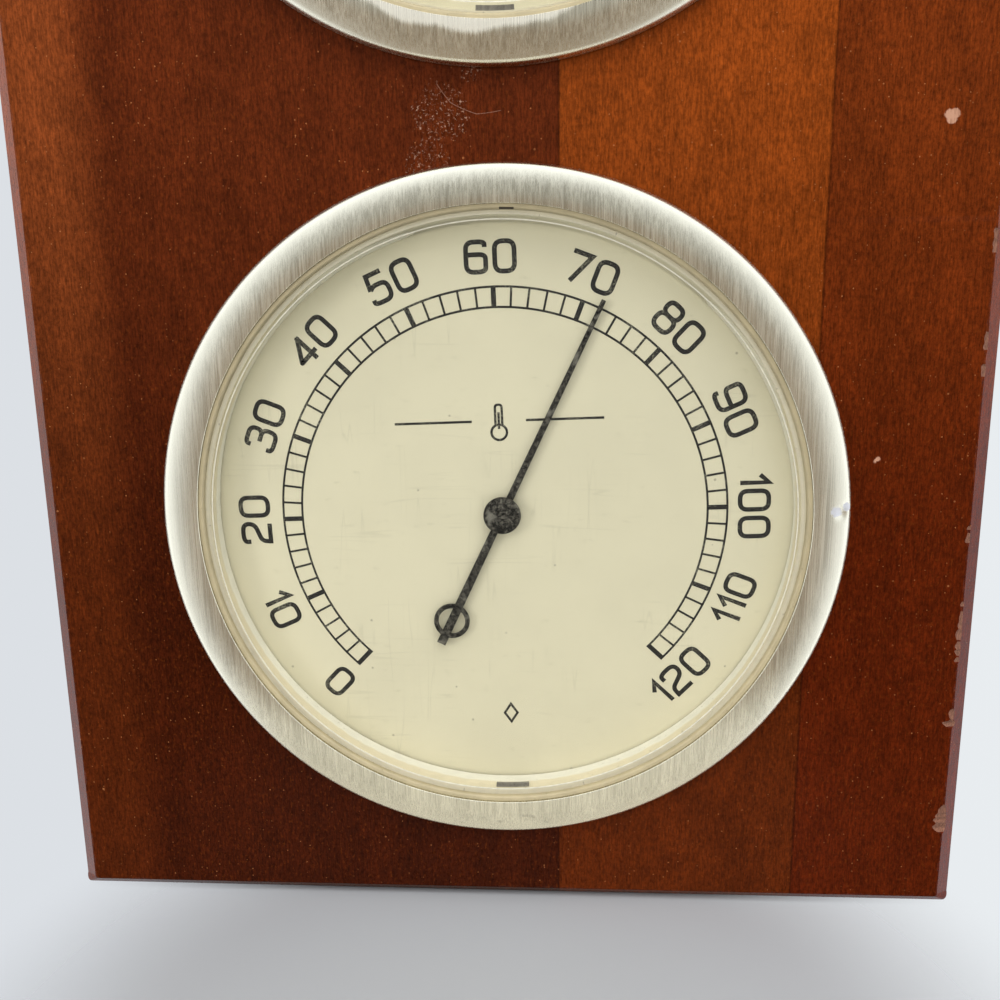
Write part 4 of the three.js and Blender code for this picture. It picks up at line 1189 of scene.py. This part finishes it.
# Print: strokes of even width, built as thin raised ink
def rounded_path(corners, closed):
    """A path through (x, y, rounding) corners, with each rounded corner drawn as a curve."""
    found = []
    count = len(corners)
    for i, (x, y, rounding) in enumerate(corners):
        inner = closed or 0 < i < count - 1
        if not (inner and rounding):
            found.append((x, y))
            continue
        here = Vector((x, y))
        before = Vector(corners[i - 1][:2]) - here
        after = Vector(corners[(i + 1) % count][:2]) - here
        start = here + before.normalized() * min(rounding, before.length / 2)
        end = here + after.normalized() * min(rounding, after.length / 2)
        found += curve(start, here, end, 6)
        found.append(tuple(end))
    return found


def stroke_edges(path, width, closed=False):
    """Left and right edges of a stroke of even width along a path."""
    left = []
    right = []
    count = len(path)
    for i, point in enumerate(path):
        here = Vector(point)
        ahead = Vector(path[(i + 1) % count]) if closed or i < count - 1 else None
        behind = Vector(path[i - 1]) if closed or i > 0 else None
        forward = (ahead - here).normalized() if ahead else (here - behind).normalized()
        arriving = (here - behind).normalized() if behind else forward
        normal = Vector((-forward.y - arriving.y, forward.x + arriving.x)).normalized()
        lean = max(0.45, normal.dot(Vector((-forward.y, forward.x))))
        offset = normal * (width / 2 / lean)
        left.append(tuple(here + offset))
        right.append(tuple(here - offset))
    return left, right


def draw(shape, corners, width, closed=False, move=None, layer=0):
    """A stroke through corners. Strokes that cross lie in layers, each lower than the one before."""
    path = rounded_path(corners, closed)
    if move:
        path = [move(x, y) for x, y in path]
    edges = stroke_edges(path, width, closed)
    shape.ribbon(edges, DIAL_FRONT + INK_GAP, DIAL_FRONT + INK_HEIGHT - layer * INK_GAP, closed)


def line(*corners):
    return corners, False


def loop(*corners):
    return corners, True


def digit_strokes():
    """Each digit's strokes, as corners with their rounding, and whether the stroke closes on itself."""
    w = DIGIT_WIDE
    h = DIGIT_HIGH
    waist = 0.54 * h
    hook = ((0, h - 1.1, 0), (0, h, 1.2), (w, h, 1.2))
    foot = ((w, 0, 1.1), (0, 0, 1.1))
    crook = ((w - 0.1, h - 0.75, 0), (w - 0.1, h, 1))
    six = [
        line(*crook, (0, h, 1.1), (0, 0, 1.1), (w, 0, 1.1), (w, 0.3 * h, 0)),
        line((w, 0.3 * h, 0), (w, 0.58 * h, 1), (0, 0.58 * h, 0.7), (0, 0.4 * h, 0)),
    ]
    nine = [([(w - x, h - y, r) for x, y, r in corners], closed) for corners, closed in six]
    return {
        "0": [loop((0, 0, 1.15), (w, 0, 1.15), (w, h, 1.15), (0, h, 1.15))],
        "1": [line((-1.15, h - 1.3, 0), (0, h, 0), (0, 0, 0))],
        "2": [
            line(*hook, (w, 0.56 * h, 0.9), (0.1, 0.32 * h, 0.7), (0, 0, 0)),
            line((-NUMERAL_STROKE / 2, 0, 0), (w, 0, 0)),
        ],
        "3": [
            line((0.1, h - 0.8, 0), (0.1, h, 1), (w - 0.1, h, 1), (w - 0.1, waist, 0.9), (0.9, waist, 0)),
            line((0.9, waist, 0), (w, waist, 0.9), *foot, (0, 0.9, 0)),
        ],
        "4": [
            line((2.35, h, 0), (0, 1.1, 0.12), (3.1, 1.1, 0)),
            line((2.2, h + 0.1, 0), (2.2, 0, 0)),
        ],
        "5": [
            line((w - 0.2, h, 0), (0.3, h, 0), (0.1, 0.48 * h, 0)),
            line((0.15, 0.5 * h, 0), (0.75, 0.61 * h, 0.4), (w, 0.61 * h, 1), *foot, (0, 0.7, 0)),
        ],
        "6": six,
        "7": [line((0, h, 0), (w, h, 0), (0.3 * w, 0, 0))],
        "8": [
            loop((0.12, waist, 0.95), (w - 0.12, waist, 0.95), (w - 0.12, h, 0.95), (0.12, h, 0.95)),
            loop((0, 0, 1.1), (w, 0, 1.1), (w, waist, 1), (0, waist, 1)),
        ],
        "9": nine,
        ".": [line((0, -0.25, 0), (0, 0.35, 0))],
    }


DIGITS = digit_strokes()

# Room to the left and right of a narrow character's stem. The others fill one pitch.
NARROW = {"1": (1.7, 0.6), ".": (0.45, 0.75)}


def draw_number(shape, text, clockwise):
    """A number centred on its radius, tops outward, or inward in the lower part of the dial."""
    flip = -1 if abs(clockwise) > FLIP_ANGLE else 1
    widths = [sum(NARROW[c]) if c in NARROW else DIGIT_PITCH for c in text]
    start = -sum(widths) / 2
    radial = Vector(polar(1, clockwise))
    tangent = Vector((radial.y, -radial.x))
    for character, width in zip(text, widths):
        side = NARROW[character][0] if character in NARROW else (DIGIT_PITCH - DIGIT_WIDE) / 2

        def move(x, y, left=start + side):
            across = (left + x) * flip
            outward = (y - DIGIT_HIGH / 2) * flip
            point = radial * (NUMERAL_RADIUS + outward) + tangent * across
            return (point.x + NUMERAL_SHIFT, point.y)

        for layer, (corners, closed) in enumerate(DIGITS[character]):
            draw(shape, corners, NUMERAL_STROKE, closed, move, layer)
        start += width


def draw_arc(shape, radius, first, last):
    count = round((last - first) / 1.5)
    path = [polar(radius, first + (last - first) * i / count) for i in range(count + 1)]
    shape.ribbon(stroke_edges(path, LINE_WIDTH), DIAL_FRONT + INK_GAP, DIAL_FRONT + ARC_HEIGHT)


def draw_tick(shape, clockwise, width):
    path = [
        polar(SCALE_INSIDE - LINE_WIDTH / 2, clockwise),
        polar(SCALE_OUTSIDE + LINE_WIDTH / 2, clockwise),
    ]
    shape.ribbon(stroke_edges(path, width), DIAL_FRONT + INK_GAP, DIAL_FRONT + TICK_HEIGHT)


def draw_scale(shape, dial, first, last, step, major, numbered):
    """Two arcs with ticks between them, heavier at each major value, and the numbers outside."""
    draw_arc(shape, SCALE_OUTSIDE, dial.angle(first), dial.angle(last))
    draw_arc(shape, SCALE_INSIDE, dial.angle(first), dial.angle(last))
    for i in range(round((last - first) / step) + 1):
        heavy = i % round(major / step) == 0
        draw_tick(shape, dial.angle(first + i * step), MAJOR_WIDTH if heavy else LINE_WIDTH)
    for i in range(round((last - first) / numbered) + 1):
        value = first + i * numbered
        draw_number(shape, f"{value:g}", dial.angle(value))


# Pictograms above the centre: a tube and bulb, a gauge and a drop
PICTOGRAM_UP = 14.0
PICTOGRAM_LINE = 0.36
RULE_FROM = 4.0
RULE_TO = 15.5
LOZENGE_DOWN = 32.4


def bulb_and_tube():
    bulb = [(x, y - 1.7, 0) for x, y in circle(1.15, 24)]
    tube = [(-0.5, -0.75, 0), (-0.5, 2.4, 0.45), (0.5, 2.4, 0.45), (0.5, -0.75, 0)]
    thread = [(0, -1.2, 0), (0, 1.3, 0)]
    return (loop(*bulb), line(*tube), line(*thread))


def gauge():
    ring = [(x, y, 0) for x, y in circle(2.2, 36)]
    needle = [(-0.5, -0.75, 0), (0.9, 1.35, 0)]
    return (loop(*ring), line(*needle))


def drop():
    right = [(1.7, -0.4, 0.85), (1.2, -2.1, 0.85)]
    left = [(-1.2, -2.1, 0.85), (-1.7, -0.4, 0.85)]
    return (loop((0, 2.5, 0), *right, *left),)


def draw_pictogram(shape, strokes):
    """A pictogram between two thin rules, and a lozenge low on the dial."""
    for layer, (corners, closed) in enumerate(strokes()):
        draw(shape, corners, PICTOGRAM_LINE, closed, lambda x, y: (x, y + PICTOGRAM_UP), layer)
    for side in (-1, 1):
        rule = [(side * RULE_FROM, PICTOGRAM_UP, 0), (side * RULE_TO, PICTOGRAM_UP, 0)]
        draw(shape, rule, PICTOGRAM_LINE)
    lozenge = [(0, 1.5, 0), (1.0, 0, 0), (0, -1.5, 0), (-1.0, 0, 0)]
    draw(shape, lozenge, PICTOGRAM_LINE, True, lambda x, y: (x, y - LOZENGE_DOWN))


def add_print(dial, pictogram, **scale):
    shape = Shape(dial.place)
    draw_scale(shape, dial, **scale)
    draw_pictogram(shape, pictogram)
    add_piece(shape.mesh(dial.name + "_print"), "root", "black", materials=[INK_FINISH])


# Cases: moulded cups seen from behind, with vents in the coil instruments' floors
VENT_ROWS = (-33, -26, 22, 29)
VENT_HALF = 13
VENT_WIDTH = 3.2
SCREW_HOLE = 1.3
COIL_SCREWS = ((0, -10.5), (0, 7))
BAROMETER_SCREWS = ((-15, -8), (15, -8))
ADJUSTER_Y = -20
ADJUSTER_HOLE = 2.6


# Section of a case: a ring pressed in its floor, a groove for the fit ring, a flange and a dial seat
CASE_EASE = 0.3
FLOOR_EDGE = 1.0
RING_FROM = 37.6
RING_TO = 39.2
FIT_RADIUS = 45.3
FIT_BACK = -9.3
FIT_FRONT = -6.7
CASE_FLANGE = 48.3
CASE_FRONT = 1.0
SEAT_RADIUS = 45.2
SEAT_OUT = DIAL_BACK - 0.25
CASE_INSIDE = 44.2


def case_profile():
    pressed = FLOOR_OUTSIDE + CASE_EASE
    return [
        (0, FLOOR_OUTSIDE),
        (RING_FROM, FLOOR_OUTSIDE),
        (RING_FROM + CASE_EASE, pressed),
        (RING_TO - CASE_EASE, pressed),
        (RING_TO, FLOOR_OUTSIDE),
        (CASE_RADIUS - FLOOR_EDGE, FLOOR_OUTSIDE),
        (CASE_RADIUS - CASE_EASE, pressed),
        (CASE_RADIUS, FLOOR_OUTSIDE + FLOOR_EDGE),
        (CASE_RADIUS, FIT_BACK),
        (FIT_RADIUS, FIT_BACK),
        (FIT_RADIUS, FIT_FRONT),
        (CASE_RADIUS, FIT_FRONT),
        (CASE_RADIUS, BEZEL_FOOT),
        (CASE_FLANGE, BEZEL_FOOT),
        (CASE_FLANGE, CASE_FRONT),
        (SEAT_RADIUS, CASE_FRONT),
        (SEAT_RADIUS, SEAT_OUT),
        (CASE_INSIDE, SEAT_OUT),
        (CASE_INSIDE, FLOOR_INSIDE),
        (0, FLOOR_INSIDE),
    ]


def stadium(half, width, y):
    end = half - width / 2
    right = [(end + a, y + b) for a, b in (polar(width / 2, 15 * i) for i in range(13))]
    left = [(-x, 2 * y - b) for x, b in right]
    return right + left


def add_case(dial, openings):
    shape = Shape(dial.place)
    shape.turned(case_profile())
    mesh = shape.mesh(dial.name + "_case_moulding")
    piece = add_piece(mesh, "root", "moulding", [dial.name + "_case"])
    through = (FLOOR_OUTSIDE - OVERCUT, FLOOR_INSIDE + OVERCUT, FINISHES["moulding"])
    cut_away(piece, [cutter(dial.place, outline, *through) for outline in openings])


def coil_openings():
    vents = [stadium(VENT_HALF, VENT_WIDTH, y) for y in VENT_ROWS]
    return vents + [circle(SCREW_HOLE, 24, x, y) for x, y in COIL_SCREWS]


def barometer_openings():
    screws = [circle(SCREW_HOLE, 24, x, y) for x, y in BAROMETER_SCREWS]
    return screws + [circle(ADJUSTER_HOLE, 32, 0, ADJUSTER_Y)]


# Hands: a long needle with a ring on its tail, under a worn cap
TIP_REACH = 34.7
TIP_HALF = 0.33
TAIL_REACH = 22.7
TAIL_HALF = 0.7
RING_CENTRE = 18.65
RING_OUTSIDE = 2.75
RING_INSIDE = 2.05
EYE_RADIUS = 2.3
OVERLAY = 0.04
HAND_EASE = 0.06
HUB_GAP = 0.25
HUB_EASE = 0.35
HUB_DISH = 0.02
PIVOT_RADIUS = 0.9
PIVOT_SINK = 0.06


def add_hand(dial):
    shape = Shape(dial.turned_place(dial.angle(dial.reading)))
    tail = [(-TAIL_HALF, -TAIL_REACH), (TAIL_HALF, -TAIL_REACH)]
    tip = [(TIP_HALF, TIP_REACH), (-TIP_HALF, TIP_REACH)]
    shape.plate([tail + tip], POINTER_BACK, POINTER_FRONT)
    ring = [circle(radius, 64, 0, -RING_CENTRE) for radius in (RING_OUTSIDE, RING_INSIDE)]
    for loops in (ring, [circle(EYE_RADIUS, 48)]):
        shape.plate(loops, POINTER_BACK + OVERLAY, POINTER_FRONT - OVERLAY)
    piece = add_piece(shape.mesh(dial.body + "_needle"), dial.body, "black", [dial.body])
    round_edges(piece, HAND_EASE)


def add_hub(dial):
    under = POINTER_FRONT + HUB_GAP
    edge = (HUB_RADIUS - HUB_EASE, HUB_FRONT - HUB_DISH)
    sink = HUB_FRONT - PIVOT_SINK
    profile = [(0, under), (HUB_RADIUS - 0.1, under), (HUB_RADIUS, under + 0.1)]
    profile += curve((HUB_RADIUS, HUB_FRONT - HUB_EASE), (HUB_RADIUS, edge[1]), edge, 5)
    profile += [edge, (PIVOT_RADIUS, HUB_FRONT), (PIVOT_RADIUS - 0.3, sink), (0, sink)]
    shape = Shape(dial.turned_place(dial.angle(dial.reading)))
    shape.turned(profile, 96)
    add_piece(shape.mesh(dial.name + "_hub_cap"), dial.body, "black", [dial.name + "_hub"])


def add_instrument(dial, lens_hole, openings):
    add_bezel(dial)
    add_lens(dial, lens_hole)
    add_slot_shades(dial)
    add_dial_plate(dial)
    add_case(dial, openings)
    add_hand(dial)
    add_hub(dial)


# Screws, nails and bumpers: turned pieces, each about the middle of the solid it stands for
def node_place(node):
    low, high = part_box(node)
    middle = (low + high) / 2 / MM

    def place(x, y, out):
        return board_place(middle.x + x, middle.z + y, out)

    return place


# Screws: radii of the head and shank, and how far out the head's back, its underside and the tip are
CASE_SCREW = {"head": 2.4, "back": -18.75, "under": -17.75, "shank": 1.05, "tip": -14.35}
ADJUST_SCREW = {"head": 2.2, "back": -17.3, "under": -16.4, "shank": 1.2, "tip": -12}
HEAD_CHAMFER = 0.35
HEAD_EASE = 0.08
DRIVER_SLOT = 0.7
DRIVER_DEPTH = 0.5


def add_screw(node, body, finish, head, back, under, shank, tip):
    """A cheese-head screw seen from behind, with a chamfered head and a driver slot."""
    profile = [
        (0, back),
        (head - HEAD_CHAMFER, back),
        (head, back + HEAD_CHAMFER),
        (head, under),
        (shank, under),
        (shank, tip),
        (0, tip),
    ]
    place = node_place(node)
    shape = Shape(place)
    shape.turned(profile, 64)
    piece = add_piece(shape.mesh(node + "_turned"), body, finish, [node])
    slot = oblong(head + OVERCUT, DRIVER_SLOT)
    # The driver slot's cut faces take a dark finish: painted shade in the slot
    cut_away(piece, [cutter(place, slot, back - OVERCUT, back + DRIVER_DEPTH, SLOT_SHADE_FINISH)])
    round_edges(piece, HEAD_EASE)


# Nails: a domed head on a thin shank with a long point
HEAD_BACK = -21.2
HEAD_RADIUS = 2.0
HEAD_RIM = -20.6
HEAD_UNDER = -20.3
SHANK_RADIUS = 0.7
POINT_FROM = -12.0
POINT_END = -10.25


def add_nail(node):
    dome = curve((0.6, HEAD_BACK), (HEAD_RADIUS, HEAD_BACK + 0.05), (HEAD_RADIUS, HEAD_RIM), 8)
    rim = [(HEAD_RADIUS, HEAD_RIM), (HEAD_RADIUS, HEAD_UNDER)]
    shank = [(SHANK_RADIUS, HEAD_UNDER), (SHANK_RADIUS, POINT_FROM), (0, POINT_END)]
    shape = Shape(node_place(node))
    shape.turned([(0, HEAD_BACK), *dome, *rim, *shank], 48)
    add_piece(shape.mesh(node + "_turned"), "root", "brass", [node])


# Bumpers: felt pads with a soft edge and a slightly uneven face
PAD_RADIUS = 5.0
PAD_FRONT = -19.25
PAD_BACK = -22.23
PAD_ROLL = 0.8
PAD_RINGS = (3.4, 2.4, 1.4, 0.7, 0)
PAD_UNEVEN = 0.05
PAD_SINK = 0.6


def add_bumper(node):
    start = (PAD_RADIUS, PAD_FRONT - 0.3)
    profile = [(0, PAD_FRONT), (PAD_RADIUS - 0.2, PAD_FRONT)]
    profile += curve(start, (PAD_RADIUS, PAD_BACK + 0.08), (PAD_RADIUS - PAD_ROLL, PAD_BACK), 8)
    profile += [(radius, PAD_BACK) for radius in PAD_RINGS]
    shape = Shape(node_place(node))
    shape.turned(profile, 96)
    mesh = shape.mesh(node + "_pad")
    for vert in mesh.vertices:
        vert.co.y += PAD_UNEVEN * MM * (noise.noise(vert.co / MM * 2.3) - PAD_SINK)
    add_piece(mesh, "root", "felt", [node])


# Hanger: the frame's own solid, with its sheared edges eased
SHEARED_EASE = 0.12


def soften_hanger():
    round_edges(frame["nodes"]["hanger"], SHEARED_EASE)


# Setting hand: a brass pointer behind the barometer's lens, on a ridged knob in front of it
SET_HAND = "barometer_set_hand"
SET_PLACE = BAROMETER.turned_place(BAROMETER.angle(SET_READING))
SET_HALF = 0.2
SET_EYE = 2.2
ARROW_RIGHT = ((0.35, -13), (0.5, 0), (0.9, 24))
ARROW_TIP = (0, 31)
KNOB_RIDGES = 20
RIDGE_STEPS = 12

# Section of the knob: radius, height out of the board's face, and how far its ridges swell
KNOB_STEM = ((0, -0.45, 0), (0.7, -0.45, 0), (0.7, 0.45, 0), (1.3, 0.45, 0), (1.3, 2.5, 0))
KNOB_UNDER = ((3.6, 2.5, 0), (3.8, 2.7, 0), (3.8, 3.3, 0), (4.25, 3.45, 0.1))
KNOB_GRIP = ((4.4, 3.8, 0.2), (4.4, 6.7, 0.2), (4.25, 7.05, 0.1), (3.8, 7.2, 0))
KNOB_TOP = ((3.8, 7.5, 0), (3.6, 7.85, 0), (3.2, 8, 0), (2.2, 8, 0), (2.0, 7.85, 0), (0, 7.85, 0))


def add_set_hand():
    shape = Shape(SET_PLACE)
    *left, tail = [(-x, y) for x, y in ARROW_RIGHT[::-1]]
    shape.plate([[tail, *ARROW_RIGHT, ARROW_TIP, *left]], -SET_HALF, SET_HALF)
    shape.plate([circle(SET_EYE, 48)], -SET_HALF + 0.03, SET_HALF - 0.03)
    piece = add_piece(shape.mesh(SET_HAND + "_arrow"), SET_HAND, "brass", [SET_HAND])
    round_edges(piece, HAND_EASE)


def add_set_knob():
    """A stem through the lens and a knob with soft ridges round it."""
    shape = Shape(SET_PLACE)
    rings = []
    for radius, out, ridge in (*KNOB_STEM, *KNOB_UNDER, *KNOB_GRIP, *KNOB_TOP):
        count = KNOB_RIDGES * RIDGE_STEPS if radius else 1
        ring = []
        for i in range(count):
            swell = ridge * math.cos(math.tau * i * KNOB_RIDGES / count)
            ring.append((*polar(radius + swell, 360 * i / count), out))
        rings.append(shape.add(ring))
    for first, second in zip(rings, rings[1:]):
        shape.bridge(first, second)
    add_piece(shape.mesh("barometer_set_knob_turned"), SET_HAND, "brass", ["barometer_set_knob"])


# Scratch: a thin pale curl in the lacquer above the lower bezel
SCRATCH = ((-8.0, 122.6), (-6.2, 120.2), (-2.7, 118.7), (0.6, 119.1))
SCRATCH_WIDTH = 0.09
SCRATCH_BACK = 0.001
SCRATCH_FRONT = 0.012


def add_scratch():
    path = []
    points = (SCRATCH[0], *SCRATCH, SCRATCH[-1])
    for before, start, end, after in zip(points, points[1:], points[2:], points[3:]):
        bend = tuple((a + b) / 2 - (p + q - a - b) / 16 for a, b, p, q in zip(start, end, before, after))
        path += curve(start, bend, end, 6)
    path.append(SCRATCH[-1])
    shape = Shape(board_place)
    shape.ribbon(stroke_edges(path, SCRATCH_WIDTH), SCRATCH_BACK, SCRATCH_FRONT)
    add_piece(shape.mesh("board_scratch"), "root", "wood", materials=[BARE_WOOD_FINISH])


add_board([dial.centre for dial in DIALS])
add_instrument(THERMOMETER, 0, coil_openings())
add_instrument(BAROMETER, LENS_HOLE, barometer_openings())
add_instrument(HYGROMETER, 0, coil_openings())
add_print(THERMOMETER, bulb_and_tube, first=0, last=120, step=2, major=10, numbered=10)
add_print(BAROMETER, gauge, first=28, last=31, step=0.05, major=0.25, numbered=0.5)
add_print(HYGROMETER, drop, first=0, last=100, step=2, major=10, numbered=10)
add_set_hand()
add_set_knob()
add_scratch()
soften_hanger()
for dial in DIALS:
    for number in (1, 2):
        add_screw(f"{dial.name}_screw_{number}", "root", "steel", **CASE_SCREW)
add_screw("barometer_adjust_screw", "barometer_adjust_screw", "brass", **ADJUST_SCREW)
for number in (1, 2):
    add_nail(f"hanger_nail_{number}")
    add_bumper(f"bumper_{number}")


# Studio: a pale floor that fades into the backdrop, five soft lamps, and a room that only gloss shows
BACKDROP_LEFT = (220, 224, 229)
BACKDROP_RIGHT = (233, 237, 240)
ROOM_CENTRE = (158, 140, 120)
ROOM_FRONT = (174, 173, 168)
ROOM_BRIGHT = (1.43, 1.51, 1.64, 1.0)
ROOM_REAR_LOW = (150, 150, 150)
ROOM_REAR_HIGH = (226, 227, 229)
ROOM_ASIDE = (0.34, 0.6)
ROOM_RISE = (0.02, 0.18)
ROOM_BEHIND = (-0.3, 0.0)
REAR_RISE = (-0.35, 0.25)
REAR_FACING = (0.4, 0.7)
REAR_TOP = (0.7, 0.3)
ROOM_DROP = 0.1
ROOM_RIGHT = 0.06
ROOM_NEAR = 0.4
ROOM_FAR = 0.8
FLOOR = (177, 179, 182)
FLOOR_GLOSS = (221, 219, 211)
FLOOR_CENTRE = (0, -45, 0)
FLOOR_NEAR = 44
FLOOR_FAR = 84
FLOOR_HALF = 1.5
FLOOR_DROP = 0.0002
FILL = 0.39


def add_floor():
    graph = Finish("floor")
    place = graph.place()
    cloud = graph.noise(place, 0.01, 2.0)
    gloss = graph.node("ShaderNodeLightPath").outputs["Is Glossy Ray"]
    colour = graph.blend(gloss, tint(*FLOOR), tint(*FLOOR_GLOSS))
    colour = graph.shade(colour, graph.span(cloud, 0.3, 0.7, 0.98, 1.02))
    solid = graph.surface({"Base Color": colour, "Roughness": 0.7, "IOR": 1.3})
    clear = graph.node("ShaderNodeBsdfTransparent").outputs[0]
    fade = graph.span(graph.distance(place, FLOOR_CENTRE), FLOOR_NEAR, FLOOR_FAR)
    mixed = graph.node("ShaderNodeMixShader", {0: fade, 1: solid, 2: clear})
    corners = [(x, y, 0) for x, y in oblong(FLOOR_HALF, 2 * FLOOR_HALF)]
    mesh = bpy.data.meshes.new("floor")
    mesh.from_pydata(corners, [], [(0, 1, 2, 3)])
    mesh.materials.append(graph.done(mixed.outputs[0]))
    floor = bpy.data.objects.new("floor", mesh)
    floor.location.z = -FLOOR_DROP
    SCENE.collection.objects.link(floor)


def add_softbox(name, place, target, width, height, watts):
    data = bpy.data.lights.new(name, "AREA")
    data.shape = "RECTANGLE"
    data.size = width
    data.size_y = height
    data.energy = watts
    lamp = bpy.data.objects.new(name, data)
    lamp.location = place
    lamp.rotation_mode = "QUATERNION"
    lamp.rotation_quaternion = (Vector(target) - Vector(place)).to_track_quat("-Z", "Y")
    lamp.visible_camera = False
    lamp.visible_transmission = False
    lamp.visible_glossy = False
    SCENE.collection.objects.link(lamp)


def add_world():
    """A pale backdrop to the eye and through glass, a darker room for gloss, and a plain fill."""
    world = bpy.data.worlds.new("studio")
    world.use_nodes = True
    graph = Graph(world.node_tree)
    direction = graph.node("ShaderNodeTexCoord").outputs["Generated"]
    x, y, z = graph.split(direction)
    rays = graph.node("ShaderNodeLightPath").outputs
    backdrop = graph.blend(graph.span(x, -0.5, 0.5), tint(*BACKDROP_LEFT), tint(*BACKDROP_RIGHT))
    aside = graph.math("MAXIMUM", graph.math("ADD", x, ROOM_RIGHT), graph.product(x, -1.0))
    front = graph.blend(graph.span(aside, *ROOM_ASIDE), tint(*ROOM_CENTRE), tint(*ROOM_FRONT))
    front = graph.blend(graph.span(z, *ROOM_RISE), front, tint(*ROOM_FRONT))
    lift = graph.math("MAXIMUM", graph.math("ADD", z, ROOM_DROP), 0.0)
    spread = graph.node("ShaderNodeCombineXYZ", {0: aside, 2: lift}).outputs[0]
    reach = graph.span(graph.distance(spread), ROOM_NEAR, ROOM_FAR)
    bright = graph.math("MAXIMUM", reach, graph.span(y, *ROOM_BEHIND))
    room = graph.blend(bright, front, ROOM_BRIGHT)
    rear = graph.blend(graph.span(z, *REAR_RISE), tint(*ROOM_REAR_LOW), tint(*ROOM_REAR_HIGH))
    facing = graph.product(graph.span(y, *REAR_FACING), graph.span(z, *REAR_TOP))
    room = graph.blend(facing, room, rear)
    seen = graph.math("MAXIMUM", rays["Is Camera Ray"], rays["Is Transmission Ray"])
    fill = graph.node("ShaderNodeBackground", {"Strength": FILL}).outputs[0]
    gloss = graph.node("ShaderNodeBackground", {"Color": room}).outputs[0]
    pale = graph.node("ShaderNodeBackground", {"Color": backdrop}).outputs[0]
    lit = graph.node("ShaderNodeMixShader", {0: rays["Is Glossy Ray"], 1: fill, 2: gloss}).outputs[0]
    mixed = graph.node("ShaderNodeMixShader", {0: seen, 1: lit, 2: pale}).outputs[0]
    graph.node("ShaderNodeOutputWorld", {"Surface": mixed})
    SCENE.world = world


add_floor()
add_world()

# Lamps: place and target in metres, width, height and watts
add_softbox("overhead", (0.14, -0.36, 0.78), (0, 0, 0.1), 1.0, 0.8, 7.5)
add_softbox("left", (-0.45, -0.42, 0.16), (0, 0, 0.07), 0.12, 0.3, 0.82)
add_softbox("front", (-0.1, -0.8, 0.12), (0, 0, 0.08), 0.5, 0.5, 1.05)
add_softbox("right_rim", (0.5, 0.28, 0.06), (0.07, 0, 0.08), 0.3, 0.5, 1.0)
add_softbox("rear", (-0.15, 0.75, 0.5), (0, 0, 0.17), 0.9, 0.6, 2.6)

SCENE.view_settings.view_transform = "Standard"
